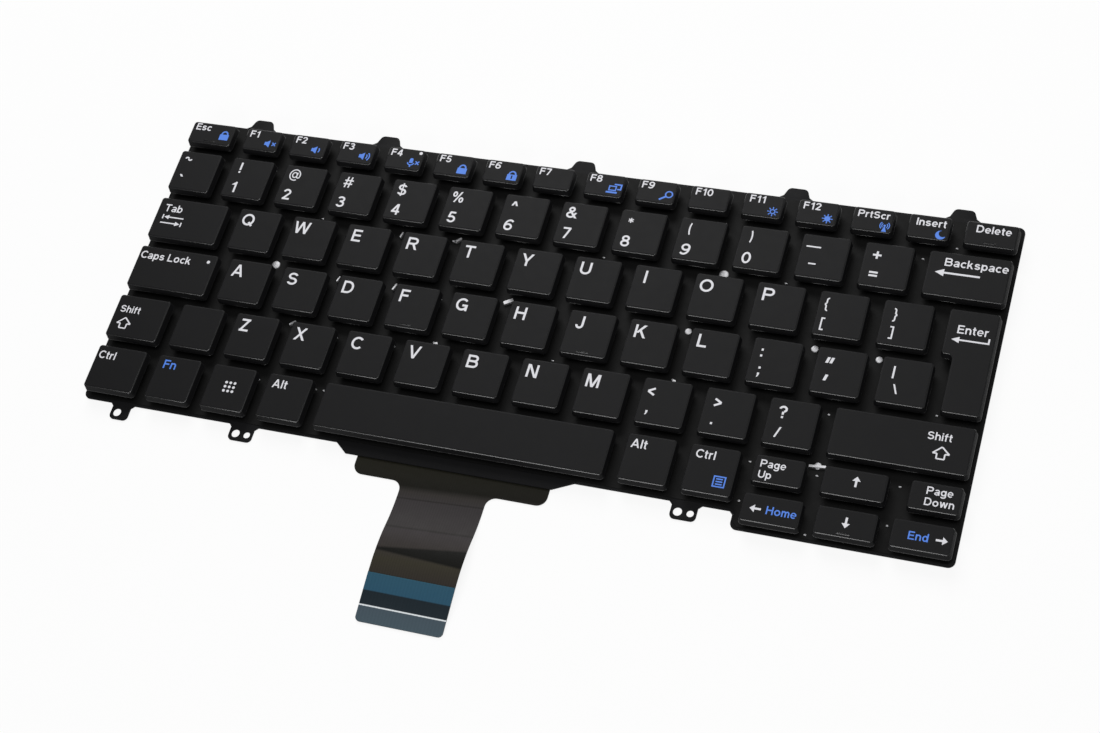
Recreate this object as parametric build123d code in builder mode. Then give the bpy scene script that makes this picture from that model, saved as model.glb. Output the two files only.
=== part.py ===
"""Laptop replacement keyboard: plate, membrane, domes, scissor frames, keycaps, wires and ribbon cable.

Frame: origin at the middle of the plate's underside, +X along the rows to the right,
+Y away from the typist, +Z up through the keycaps. Millimetres.
"""
from build123d import *

import os
from dataclasses import dataclass
from functools import lru_cache
from math import asin, atan, atan2, cos, degrees, hypot, radians, sin

os.makedirs("parts", exist_ok=True)

# Key grid, measured between the flat tops of the caps
key_pitch = 18.5
row_pitch = 18.15
key_gap = 4.5
row_gap = 3.65
function_depth = 7.8
half_key_depth = 8.35

# Widths of the keys that aren't one pitch wide, counted in pitches
backspace_units = 1.5
tab_units = 1.5
caps_lock_units = 1.68
left_shift_units = 1.17
left_ctrl_units = 1.12
space_units = 5.05

# Widths in millimetres of the keys with a spacing of their own
escape_width = 14.8
up_key_width = 17.5
up_key_shift = -0.5
page_key_gap = 5.9
arrow_gap = 4.2
arrow_overhang = 0.6

# Keycap section, from the rim upwards
key_travel = 1.8
rim_clearance = 0.4
cap_height = 2.6
flank_run = 0.4
cap_wall = 1.0
cap_ceiling = 0.9
homing_bar_length = 4.0
homing_bar_width = 0.5
homing_bar_height = 0.2
homing_bar_inset = 1.0
lamp_window_radius = 0.4
lamp_window_sides = 6
lamp_inset = 2.6
small_lamp_inset = 1.2

# Support plate
plate_thickness = 0.5
side_margin = 1.25
rear_margin = 2.95
front_margin = 1.7
apron_margin = 1.1
apron_side = 3.6
plate_corner_radius = 2.0

# Rear locating tabs, placed in pitches from the middle
rear_tab_places = (-6.0, -3.61, -0.09, 3.53, 6.21)
rear_tab_reach = 3.7
rear_tab_root = 8.6
rear_tab_top = 5.6
rear_tab_radius = 1.6
tab_root_cut = 1.0

# Front screw tabs: middle in pitches, width, and the holes' distances from the middle
front_tab_reach = 5.2
front_tab_radius = 1.5
left_tab_place = -6.46
left_tab_width = 6.0
pair_tab_places = (-4.26, 3.116)
pair_tab_width = 7.6
screw_hole_radius = 1.3
peg_hole_radius = 1.05
screw_hole_offset = -1.7
peg_hole_offset = 1.95
left_hole_offset = -0.9
hole_edge_distance = 2.3

# Cable flange: a strip joggled up so that the ribbon can leave under it
flange_left = 33.5
flange_right = 30.1
flange_reach = 3.2
flange_left_ramp = 4.0
flange_right_ramp = 6.4
flange_lift = 0.4
flange_land = 0.7
notch_depth = 3.4
notch_clearance = 0.6

# Membrane, domes and lamps
membrane_thickness = 0.2
membrane_inset = 0.8
dome_radius = 2.9
dome_top_radius = 1.5
small_dome_radius = 1.3
small_dome_top_radius = 0.8
dome_sides = 5
dome_clearance = 0.1
lamp_length = 1.0
lamp_width = 0.6
lamp_height = 0.4

# Scissor frames
scissor_length = 9.4
scissor_bar = 1.1
scissor_thickness = 0.6
scissor_side_clearance = 0.5
small_scissor_length = 8.4
small_scissor_bar = 0.6
frame_gap = 0.2
seat_clearance = 0.1
ceiling_clearance = 0.15
space_scissor_offset = 22.0

# Stabiliser wires
wire_radius = 0.4
wire_sides = 8
wire_arm = 5.5
wire_foot = 2.0
wire_clearance = 0.15
wire_side_clearance = 0.7
wire_front_clearance = 0.9
hook_width = 1.2
hook_thickness = 0.4
window_clearance = 0.3

# Ribbon cable
ribbon_thickness = 0.24
ribbon_floor_gap = 0.06
ribbon_root_width = 59.4
ribbon_root_reach = 5.4
ribbon_corner_radius = 3.0
ribbon_tail_width = 26.3
ribbon_tail_offset = -0.7
ribbon_tail_radius = 1.4
ribbon_flat_run = 4.4
ribbon_rise_angle = 14
ribbon_fall_angle = 8
bond_length = 1.4
stiffener_length = 14.4
stiffener_thickness = 0.16

# Rows, from the typist's left
number_names = "grave 1 2 3 4 5 6 7 8 9 0 minus equals".split()
function_names = "escape f1 f2 f3 f4 f5 f6 f7 f8 f9 f10 f11 f12 print insert delete".split()
upper_letters = "q w e r t y u i o p bracket_left bracket_right".split()
home_letters = "a s d f g h j k l semicolon quote backslash".split()
lower_letters = "blank z x c v b n m comma period slash".split()
left_modifiers = "fn super alt_left".split()
right_modifiers = "alt_right ctrl_right".split()
homing_names = ("escape", "delete", "f", "j", "down")
lamp_names = ("caps_lock", "f4")

# Worked-out sizes of the grid
row_units = len(number_names) + backspace_units
cap_depth = row_pitch - row_gap
block_width = row_units * key_pitch - key_gap
block_left = -block_width / 2
block_right = block_width / 2
plate_width = block_width + 2 * side_margin
plate_depth = rear_margin + function_depth + 5 * row_pitch + front_margin
plate_rear = plate_depth / 2
plate_front = -plate_depth / 2
function_front = plate_rear - rear_margin - function_depth

# Worked-out heights
membrane_top = plate_thickness + membrane_thickness
cap_base = membrane_top + rim_clearance + key_travel
cap_top = cap_base + cap_height
ceiling_z = cap_top - cap_ceiling
flank_angle = degrees(atan(flank_run / cap_height))
pocket_inset = cap_wall - flank_run

# Turn of the scissors under the full-height keys
front_to_rear = (0, 0, 90)


@dataclass
class Key:
    """One key: its name, the rectangle of its cap's flat top, and the step in its left side."""

    name: str
    left: float
    front: float
    width: float
    depth: float
    step: float = 0

    @property
    def right(self):
        return self.left + self.width

    @property
    def rear(self):
        return self.front + self.depth

    @property
    def middle(self):
        return self.left + self.width / 2, self.front + self.depth / 2

    @property
    def half_height(self):
        """True for the shallow caps of the function row and the arrow block."""
        return self.depth < cap_depth

    @property
    def lamp_inset(self):
        """Distance of the lamp from the cap's right and rear edges."""
        return small_lamp_inset if self.half_height else lamp_inset

    @property
    def lamp_place(self):
        """Place of the lamp on the membrane."""
        return self.right - self.lamp_inset, self.rear - self.lamp_inset, membrane_top

    @property
    def form(self):
        """All that the cap's shape depends on, rounded so that like caps come out alike."""
        window_inset = self.lamp_inset if self.name in lamp_names else 0
        sizes = (self.width, self.depth, self.step, window_inset)
        return (*[round(size, 6) for size in sizes], self.name in homing_names)


def row_front(row):
    """Front edge of the cap tops in a full row, the number row being 1."""
    return function_front - row * row_pitch


def lay_row(row, start, names, units=1):
    """Keys of one width side by side in a full row, from a start counted in pitches."""
    width = units * key_pitch - key_gap
    places = [block_left + (start + index * units) * key_pitch for index in range(len(names))]
    return [Key(name, left, row_front(row), width, cap_depth) for name, left in zip(names, places)]


# Function row: equal keys between two wider ones at the ends
function_pitch = (block_width - 2 * escape_width - key_gap) / (len(function_names) - 2)
function_row = []
function_left = block_left
for name in function_names:
    function_width = escape_width if name in ("escape", "delete") else function_pitch - key_gap
    function_row.append(Key(name, function_left, function_front, function_width, function_depth))
    function_left += function_width + key_gap

# Space row, then the arrow block that fills it to the right-hand end
fn_start = left_ctrl_units
space_start = fn_start + len(left_modifiers)
alt_start = space_start + space_units
arrow_start = alt_start + len(right_modifiers)
space_row = (
    lay_row(5, 0, ["ctrl_left"], left_ctrl_units)
    + lay_row(5, fn_start, left_modifiers)
    + lay_row(5, space_start, ["space"], space_units)
    + lay_row(5, alt_start, right_modifiers)
)
arrow_left = block_left + arrow_start * key_pitch
arrow_width = block_right - arrow_left
upper_front = row_front(5) + cap_depth - half_key_depth
lower_front = upper_front - row_gap - half_key_depth
lower_width = (arrow_width + arrow_overhang - 2 * arrow_gap) / 3
page_width = (arrow_width - up_key_width - 2 * page_key_gap) / 2
up_left = arrow_left + page_width + page_key_gap + up_key_shift
page_down_left = block_right - page_width
arrow_block = [
    Key("page_up", arrow_left, upper_front, page_width, half_key_depth),
    Key("up", up_left, upper_front, up_key_width, half_key_depth),
    Key("page_down", page_down_left, upper_front, page_width, half_key_depth),
]
for index, name in enumerate(("left", "down", "right")):
    lower_left = arrow_left - arrow_overhang + index * (lower_width + arrow_gap)
    arrow_block.append(Key(name, lower_left, lower_front, lower_width, half_key_depth))

# Enter spans two rows, and its upper part reaches further left
enter_upper_left = block_left + (tab_units + len(upper_letters)) * key_pitch
enter_lower_left = block_left + (caps_lock_units + len(home_letters)) * key_pitch
enter_step = enter_lower_left - enter_upper_left
enter_width = block_right - enter_upper_left
enter_key = Key("enter", enter_upper_left, row_front(3), enter_width, row_pitch + cap_depth, enter_step)

right_shift_start = left_shift_units + len(lower_letters)
sliding_keys = (
    lay_row(1, len(number_names), ["backspace"], backspace_units)
    + lay_row(2, 0, ["tab"], tab_units)
    + lay_row(2, tab_units, upper_letters)
    + lay_row(3, 0, ["caps_lock"], caps_lock_units)
    + lay_row(3, caps_lock_units, home_letters)
    + lay_row(4, 0, ["shift_left"], left_shift_units)
    + lay_row(4, left_shift_units, lower_letters)
    + lay_row(4, right_shift_start, ["shift_right"], row_units - right_shift_start)
    + space_row
    + [enter_key]
)
fixed_keys = function_row + lay_row(1, 0, number_names) + arrow_block
all_keys = fixed_keys + sliding_keys
key_named = {key.name: key for key in all_keys}
small_keys = [key for key in all_keys if key.half_height] + [enter_key]
full_keys = [key for key in all_keys if key not in small_keys]


def lay_cap(width, depth, step):
    """Rectangle of a cap, less the front left corner that a stepped cap lacks."""
    Rectangle(width, depth)
    if step:
        with Locations((-width / 2, -depth / 2)):
            Rectangle(step, row_pitch, align=(Align.MIN, Align.MIN), mode=Mode.SUBTRACT)


@lru_cache
def plain_cap(width, depth, step, window_inset, homing):
    """Hollow cap about the Z axis: four leaning flanks, a flat top and a thin ceiling."""
    with BuildPart() as cap:
        with BuildSketch(Plane.XY.offset(cap_base)):
            lay_cap(width + 2 * flank_run, depth + 2 * flank_run, step)
        extrude(amount=cap_height, taper=flank_angle)
        with BuildSketch(Plane.XY.offset(cap_base)):
            lay_cap(width - 2 * pocket_inset, depth - 2 * pocket_inset, step)
        extrude(amount=cap_height - cap_ceiling, mode=Mode.SUBTRACT)
        if homing:
            with Locations((0, homing_bar_inset - depth / 2, cap_top)):
                Box(
                    homing_bar_length,
                    homing_bar_width,
                    homing_bar_height,
                    align=(Align.CENTER, Align.CENTER, Align.MIN),
                )
        if window_inset:
            with BuildSketch(Plane.XY.offset(ceiling_z)):
                with Locations((width / 2 - window_inset, depth / 2 - window_inset)):
                    RegularPolygon(lamp_window_radius, lamp_window_sides)
            extrude(amount=cap_ceiling, mode=Mode.SUBTRACT)
    return cap.part


def scissor_pair(length, bar, pocket):
    """Crossed pair of flat frames sloping along X, one inside the other, each open at one end."""
    outer_width = pocket - 2 * scissor_side_clearance
    inner_width = outer_width - 2 * (bar + frame_gap)
    lowest = membrane_top + seat_clearance
    highest = ceiling_z - ceiling_clearance
    full_tilt = asin((highest - lowest) / hypot(length, scissor_thickness))
    tilt = degrees(full_tilt - atan2(scissor_thickness, length))
    crossing = Plane((0, 0, (lowest + highest) / 2))
    with BuildPart() as pair:
        with BuildSketch(crossing.rotated((0, tilt, 0))):
            Rectangle(length, outer_width)
            with Locations((bar, 0)):
                Rectangle(length, outer_width - 2 * bar, mode=Mode.SUBTRACT)
        extrude(amount=scissor_thickness / 2, both=True)
        with BuildSketch(crossing.rotated((0, -tilt, 0))):
            Rectangle(length, inner_width)
            with Locations((bar, 0)):
                Rectangle(length, inner_width - 2 * bar, mode=Mode.SUBTRACT)
        extrude(amount=scissor_thickness / 2, both=True)
    return pair.part


@dataclass
class Wire:
    """Stabiliser wire: a bar under the cap, two arms, and two feet that pivot in the plate's hooks."""

    key: Key
    upright: bool = False

    @property
    def half_length(self):
        """Half the distance between the two arms."""
        long_side = self.key.depth if self.upright else self.key.width
        return long_side / 2 - pocket_inset - wire_side_clearance

    @property
    def pivot(self):
        """Plane at the pivot's middle: local X along the feet, local Y towards the bar."""
        middle_x, middle_y = self.key.middle
        reach = pocket_inset + wire_front_clearance + wire_radius + wire_arm
        if self.upright:
            return Plane((self.key.right - reach, middle_y, wire_pivot_z), x_dir=(0, -1, 0))
        return Plane((middle_x, self.key.front + reach, wire_pivot_z), x_dir=(-1, 0, 0))

    @property
    def hook_places(self):
        """Local places of the two hooks, over the ends of the feet."""
        reach = self.half_length - wire_foot + hook_width / 2
        return [(-reach, 0), (reach, 0)]


wire_pivot_z = membrane_top + wire_clearance + wire_radius
wire_rise = ceiling_z - wire_clearance - wire_radius - wire_pivot_z
wires = [Wire(key_named[name]) for name in ("space", "shift_right", "backspace")]
wires.append(Wire(enter_key, upright=True))

# Worked-out places along the front edge
space_x = key_named["space"].middle[0]
flange_front = plate_front - flange_reach
flange_left_root = space_x - flange_left - flange_left_ramp
flange_right_root = space_x + flange_right + flange_right_ramp
notch_width = ribbon_root_width + 2 * notch_clearance
apron_left = arrow_left - apron_side
apron_front = lower_front - apron_margin
tab_front = plate_front - front_tab_reach
front_tabs = [(left_tab_place * key_pitch, left_tab_width)]
front_tabs += [(place * key_pitch, pair_tab_width) for place in pair_tab_places]
hole_row = tab_front + hole_edge_distance
screw_holes = [(left_tab_place * key_pitch + left_hole_offset, hole_row, plate_thickness)]
peg_holes = []
for place in pair_tab_places:
    screw_holes.append((place * key_pitch + screw_hole_offset, hole_row, plate_thickness))
    peg_holes.append((place * key_pitch + peg_hole_offset, hole_row, plate_thickness))
hook_back = wire_radius + wire_clearance
hook_under = wire_radius + wire_clearance


def level(value, target):
    """True where a coordinate lies at the target."""
    return abs(value - target) < 1e-3


def lay_plate(inset):
    """Rectangle of the plate with the apron under the arrow keys, drawn in by the inset."""
    Rectangle(plate_width - 2 * inset, plate_depth - 2 * inset)
    with Locations((plate_width / 2 - inset, apron_front + inset)):
        Rectangle(
            plate_width / 2 - apron_left - 2 * inset,
            plate_rear - apron_front - 2 * inset,
            align=(Align.MAX, Align.MIN),
        )


with BuildPart() as support_plate:
    with BuildSketch() as outline:
        lay_plate(0)
        for place in rear_tab_places:
            tab_x = place * key_pitch
            with BuildLine():
                Polyline(
                    (tab_x - rear_tab_root / 2, plate_rear),
                    (tab_x - rear_tab_top / 2, plate_rear + rear_tab_reach),
                    (tab_x + rear_tab_top / 2, plate_rear + rear_tab_reach),
                    (tab_x + rear_tab_root / 2, plate_rear),
                    close=True,
                )
            make_face()
        for tab_x, tab_width in front_tabs:
            with Locations((tab_x, plate_front)):
                Rectangle(tab_width, front_tab_reach, align=(Align.CENTER, Align.MAX))
        # Corners at the tab tops, the tab ends, the tab roots, and of the sheet itself
        tab_tops = outline.vertices().filter_by(lambda v: level(v.Y, plate_rear + rear_tab_reach))
        fillet(tab_tops, rear_tab_radius)
        tab_ends = outline.vertices().filter_by(lambda v: level(v.Y, tab_front) and v.X < apron_left)
        fillet(tab_ends, front_tab_radius)
        inner_corners = outline.vertices().filter_by(lambda v: abs(v.X) < block_right)
        chamfer(inner_corners.filter_by(lambda v: level(abs(v.Y), plate_rear)), tab_root_cut)
        sheet_sides = outline.vertices().filter_by(lambda v: level(abs(v.X), plate_width / 2))
        apron_fronts = outline.vertices().filter_by(lambda v: level(v.Y, apron_front))
        apron_end = apron_fronts.filter_by(lambda v: level(v.X, apron_left))
        fillet(sheet_sides + apron_end, plate_corner_radius)
    extrude(amount=plate_thickness)
    with Locations(*screw_holes):
        Hole(screw_hole_radius)
    with Locations(*peg_holes):
        Hole(peg_hole_radius)
    # Notch that the ribbon passes through, bridged by the joggled flange
    with BuildSketch():
        with Locations((space_x, plate_front)):
            Rectangle(notch_width, notch_depth, align=(Align.CENTER, Align.MIN))
    extrude(amount=plate_thickness, mode=Mode.SUBTRACT)
    with BuildSketch(Plane.XY.offset(flange_lift)):
        with BuildLine():
            Polyline(
                (flange_left_root, plate_front),
                (space_x - flange_left, flange_front),
                (space_x + flange_right, flange_front),
                (flange_right_root, plate_front),
                (flange_right_root, plate_front + flange_land),
                (flange_left_root, plate_front + flange_land),
                close=True,
            )
        make_face()
    extrude(amount=plate_thickness)
    # Joggle risers at the two ends of the flange
    riser_height = flange_lift + plate_thickness
    with Locations((flange_left_root, plate_front, 0)):
        left_riser = space_x - notch_width / 2 - flange_left_root
        Box(left_riser, flange_land, riser_height, align=(Align.MIN, Align.MIN, Align.MIN))
    with Locations((flange_right_root, plate_front, 0)):
        right_riser = flange_right_root - space_x - notch_width / 2
        Box(right_riser, flange_land, riser_height, align=(Align.MAX, Align.MIN, Align.MIN))
    # Hooks bent up over the feet of the stabiliser wires
    for wire in wires:
        for place in wire.hook_places:
            hook_side = Plane(wire.pivot.from_local_coords(place), wire.pivot.y_dir, wire.pivot.x_dir)
            with BuildSketch(hook_side):
                with BuildLine():
                    Polyline(
                        (-hook_back, plate_thickness / 2 - wire_pivot_z),
                        (-hook_back, hook_under),
                        (hook_back, hook_under),
                        (hook_back, hook_under + hook_thickness),
                        (-hook_back - hook_thickness, hook_under + hook_thickness),
                        (-hook_back - hook_thickness, plate_thickness / 2 - wire_pivot_z),
                        close=True,
                    )
                make_face()
            extrude(amount=hook_width / 2, both=True)
support_plate.part.label = "support_plate"
export_step(support_plate.part, "parts/support_plate.step")

with BuildPart() as membrane_sheet:
    with BuildSketch(Plane.XY.offset(plate_thickness)) as membrane_outline:
        lay_plate(membrane_inset)
        chamfer(membrane_outline.vertices(), plate_corner_radius - membrane_inset)
        # Windows for the wire hooks
        for wire in wires:
            for place_x, place_y in wire.hook_places:
                hook_stem = place_y - hook_back - hook_thickness / 2
                window_place = wire.pivot.from_local_coords((place_x, hook_stem))
                with Locations((window_place.X, window_place.Y)):
                    Rectangle(
                        hook_width + 2 * window_clearance,
                        hook_thickness + 2 * window_clearance,
                        rotation=90 if wire.upright else 0,
                        mode=Mode.SUBTRACT,
                    )
    extrude(amount=membrane_thickness)
membrane_sheet.part.label = "membrane_sheet"
export_step(membrane_sheet.part, "parts/membrane_sheet.step")

dome_height = ceiling_z - dome_clearance - membrane_top
dome_sizes = (
    (full_keys, dome_radius, dome_top_radius),
    (small_keys, small_dome_radius, small_dome_top_radius),
)
with BuildPart() as rubber_domes:
    for dome_keys, foot_radius, top_radius in dome_sizes:
        with BuildSketch(Plane.XY.offset(membrane_top)):
            with Locations(*[key.middle for key in dome_keys]):
                RegularPolygon(foot_radius, dome_sides)
        extrude(amount=dome_height, taper=degrees(atan((foot_radius - top_radius) / dome_height)))
rubber_domes.part.label = "rubber_domes"
export_step(rubber_domes.part, "parts/rubber_domes.step")

# Scissor frames: one pair to a key, and two under the space bar
space_y = key_named["space"].middle[1]
scissor_places = [key.middle for key in full_keys if key.name != "space"]
scissor_places += [(space_x - space_scissor_offset, space_y), (space_x + space_scissor_offset, space_y)]
full_pair = scissor_pair(scissor_length, scissor_bar, key_pitch - key_gap - 2 * pocket_inset)
small_pair = scissor_pair(small_scissor_length, small_scissor_bar, function_depth - 2 * pocket_inset)
with BuildPart() as scissor_frames:
    with Locations(*scissor_places):
        add(full_pair, rotation=front_to_rear)
    with Locations(*[key.middle for key in small_keys if key is not enter_key]):
        add(small_pair)
    with Locations(enter_key.middle):
        add(small_pair, rotation=front_to_rear)
scissor_frames.part.label = "scissor_frames"
export_step(scissor_frames.part, "parts/scissor_frames.step")

with BuildPart() as indicator_leds:
    with Locations(*[key_named[name].lamp_place for name in lamp_names]):
        Box(lamp_length, lamp_width, lamp_height, align=(Align.CENTER, Align.CENTER, Align.MIN))
indicator_leds.part.label = "indicator_leds"
export_step(indicator_leds.part, "parts/indicator_leds.step")

# Caps of the fixed rows, a group of separate caps placed by their form
alike_keys = {}
for key in fixed_keys:
    alike_keys.setdefault(key.form, []).append(key.middle)
with BuildPart() as fixed_row_keys:
    for form, places in alike_keys.items():
        with Locations(*places):
            add(plain_cap(*form))
fixed_row_keys.part.label = "fixed_row_keys"
export_step(fixed_row_keys.part, "parts/fixed_row_keys.step")

for key in sliding_keys:
    with BuildPart() as keycap:
        with Locations(key.middle):
            add(plain_cap(*key.form))
    keycap.part.label = f"key_{key.name}"
    export_step(keycap.part, f"parts/key_{key.name}.step")

# Stabiliser wires: foot, arm, bar, arm, foot, with the feet on the pivot axis
for wire in wires:
    wire_places = [
        (wire_foot - wire.half_length, 0, 0),
        (-wire.half_length, 0, 0),
        (-wire.half_length, wire_arm, wire_rise),
        (wire.half_length, wire_arm, wire_rise),
        (wire.half_length, 0, 0),
        (wire.half_length - wire_foot, 0, 0),
    ]
    with BuildPart() as stabiliser_wire:
        with BuildLine() as wire_path:
            Polyline(*[wire.pivot.from_local_coords(place) for place in wire_places])
        with BuildSketch(Plane(wire_path.line @ 0, z_dir=wire_path.line % 0)):
            RegularPolygon(wire_radius, wire_sides)
        sweep(transition=Transition.RIGHT)
    stabiliser_wire.part.label = f"{wire.key.name}_wire"
    export_step(stabiliser_wire.part, f"parts/{wire.key.name}_wire.step")

# Ribbon: flat root under the flange, then a tail that rises and falls again to the rest surface
ribbon_root_front = flange_front - ribbon_root_reach
ribbon_root_rear = plate_front + notch_depth - notch_clearance
tail_x = space_x + ribbon_tail_offset
end_drop = stiffener_length * sin(radians(ribbon_fall_angle))
bend_radius = end_drop / (1 + cos(radians(ribbon_fall_angle)) - 2 * cos(radians(ribbon_rise_angle)))
with BuildPart() as ribbon_cable:
    with BuildSketch(Plane.YZ.offset(space_x - ribbon_root_width / 2)):
        with BuildLine():
            flat_run = Line(
                (ribbon_root_rear, ribbon_floor_gap),
                (ribbon_root_front - ribbon_flat_run, ribbon_floor_gap),
            )
            rise = JernArc(flat_run @ 1, flat_run % 1, bend_radius, -ribbon_rise_angle)
            crest = JernArc(rise @ 1, rise % 1, bend_radius, ribbon_rise_angle + ribbon_fall_angle)
            end_run = PolarLine(crest @ 1, stiffener_length, direction=crest % 1)
            offset(amount=ribbon_thickness, side=Side.RIGHT)
        make_face()
    extrude(amount=ribbon_root_width)
    # Plan: wide root, narrow tail
    tail_length = ribbon_root_front - (end_run @ 1).X + ribbon_tail_radius
    with BuildSketch() as ribbon_plan:
        with Locations((space_x, ribbon_root_front)):
            root_length = ribbon_root_rear - ribbon_root_front
            Rectangle(ribbon_root_width, root_length, align=(Align.CENTER, Align.MIN))
        with Locations((tail_x, ribbon_root_front)):
            Rectangle(ribbon_tail_width, tail_length, align=(Align.CENTER, Align.MAX))
        step_corners = ribbon_plan.vertices().filter_by(lambda v: level(v.Y, ribbon_root_front))
        fillet(step_corners, ribbon_corner_radius)
    extrude(amount=cap_top, mode=Mode.INTERSECT)
    fillet(
        ribbon_cable.faces().sort_by(Axis.Y)[0].edges().sort_by(SortBy.LENGTH)[:2],
        ribbon_tail_radius,
    )
    # Strip bonded to the underside of the membrane
    with Locations((space_x, ribbon_root_rear, ribbon_floor_gap)):
        Box(
            ribbon_root_width,
            bond_length,
            plate_thickness - ribbon_floor_gap,
            align=(Align.CENTER, Align.MAX, Align.MIN),
        )
ribbon_cable.part.label = "ribbon_cable"
export_step(ribbon_cable.part, "parts/ribbon_cable.step")

# Stiffener bonded to the upper face of the ribbon's straight end
fall = radians(ribbon_fall_angle)
end_start = end_run @ 0
end_face = Plane((tail_x, end_start.X, end_start.Y), x_dir=(1, 0, 0), z_dir=(0, -sin(fall), cos(fall)))
with BuildPart() as cable_stiffener:
    with BuildSketch(end_face.offset(ribbon_thickness)) as stiffener_plan:
        Rectangle(ribbon_tail_width, stiffener_length, align=(Align.CENTER, Align.MAX))
        fillet(stiffener_plan.vertices().group_by(Axis.Y)[0], ribbon_tail_radius)
    extrude(amount=stiffener_thickness)
cable_stiffener.part.label = "cable_stiffener"
export_step(cable_stiffener.part, "parts/cable_stiffener.step")
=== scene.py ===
"""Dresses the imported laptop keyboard.

Rounded keycaps with printed legends stand on crossed scissor frames and rubber domes, over a membrane on
a painted steel plate, with a flat ribbon cable at the front edge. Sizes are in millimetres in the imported
model's own frame, and each mesh is brought to metres when it is written.
"""

import logging
import math
from collections.abc import Iterable, Sequence
from dataclasses import dataclass, field
from enum import Enum

import bmesh
import bpy
from mathutils import Euler, Matrix, Vector

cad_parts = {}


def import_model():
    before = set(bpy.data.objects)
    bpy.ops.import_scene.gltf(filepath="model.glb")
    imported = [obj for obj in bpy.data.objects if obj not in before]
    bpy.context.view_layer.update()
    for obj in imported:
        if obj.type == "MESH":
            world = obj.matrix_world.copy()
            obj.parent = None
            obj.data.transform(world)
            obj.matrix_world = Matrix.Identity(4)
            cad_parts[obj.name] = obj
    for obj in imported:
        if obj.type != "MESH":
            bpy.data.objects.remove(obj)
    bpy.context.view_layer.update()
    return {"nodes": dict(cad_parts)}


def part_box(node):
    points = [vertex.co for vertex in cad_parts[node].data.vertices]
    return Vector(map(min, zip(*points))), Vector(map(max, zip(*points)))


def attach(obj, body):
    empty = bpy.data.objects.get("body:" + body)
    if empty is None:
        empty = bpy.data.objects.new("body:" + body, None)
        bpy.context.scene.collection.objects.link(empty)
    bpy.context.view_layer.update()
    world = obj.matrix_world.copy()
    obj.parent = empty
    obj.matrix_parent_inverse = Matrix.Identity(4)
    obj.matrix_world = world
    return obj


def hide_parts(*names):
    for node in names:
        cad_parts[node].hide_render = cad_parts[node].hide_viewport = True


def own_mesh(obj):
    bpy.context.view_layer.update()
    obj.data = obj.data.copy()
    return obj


MM = 0.001
LOG = logging.getLogger("keyboard")

Point = tuple[float, float]
Point3 = tuple[float, float, float]
Box = tuple[Vector, Vector]
Tree = bpy.types.NodeTree
Socket = bpy.types.NodeSocket
Mesh = bmesh.types.BMesh
Piece = bpy.types.Object


def srgb(code: str) -> tuple[float, float, float, float]:
    """Turns an sRGB hex colour into linear components.

    Args:
        code: A hash sign and six hex digits.

    Returns:
        Linear red, green and blue, and a full alpha.
    """
    parts = [int(code[start:start + 2], 16) / 255 for start in (1, 3, 5)]
    linear = [part / 12.92 if part <= 0.04045 else ((part + 0.055) / 1.055) ** 2.4 for part in parts]
    return (*linear, 1.0)


def add_node(
    tree: Tree,
    kind: str,
    settings: dict | None = None,
    values: dict | None = None,
    links: dict | None = None,
) -> bpy.types.Node:
    """Adds one node with its settings, input values and links.

    Args:
        tree: The tree that takes the node.
        kind: Blender's name of the node type.
        settings: Properties of the node by name.
        values: Input values by socket name or number.
        links: Output sockets to join, by the name or number of the input that they feed.

    Returns:
        The new node.
    """
    node = tree.nodes.new(kind)
    for name, value in (settings or {}).items():
        setattr(node, name, value)
    for key, value in (values or {}).items():
        node.inputs[key].default_value = value
    for key, socket in (links or {}).items():
        tree.links.new(socket, node.inputs[key])
    return node


def per_mm(size: float) -> float:
    """Gives the texture scale whose features are about this many millimetres wide."""
    return 1 / (size * MM)


def maths(tree: Tree, operation: str, values: dict | None = None, links: dict | None = None) -> Socket:
    """Adds a math node and gives its result."""
    return add_node(tree, "ShaderNodeMath", {"operation": operation}, values, links).outputs[0]


def noise(tree: Tree, size: float, detail: float, place: Socket) -> Socket:
    """Adds soft noise with features of this many millimetres and gives its value."""
    values = {"Scale": per_mm(size), "Detail": detail}
    return add_node(tree, "ShaderNodeTexNoise", values=values, links={"Vector": place}).outputs["Fac"]


def box_mm(node: str) -> Box:
    """Gives a CAD node's lowest and highest corners in millimetres."""
    low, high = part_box(node)
    return Vector(low) / MM, Vector(high) / MM


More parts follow.
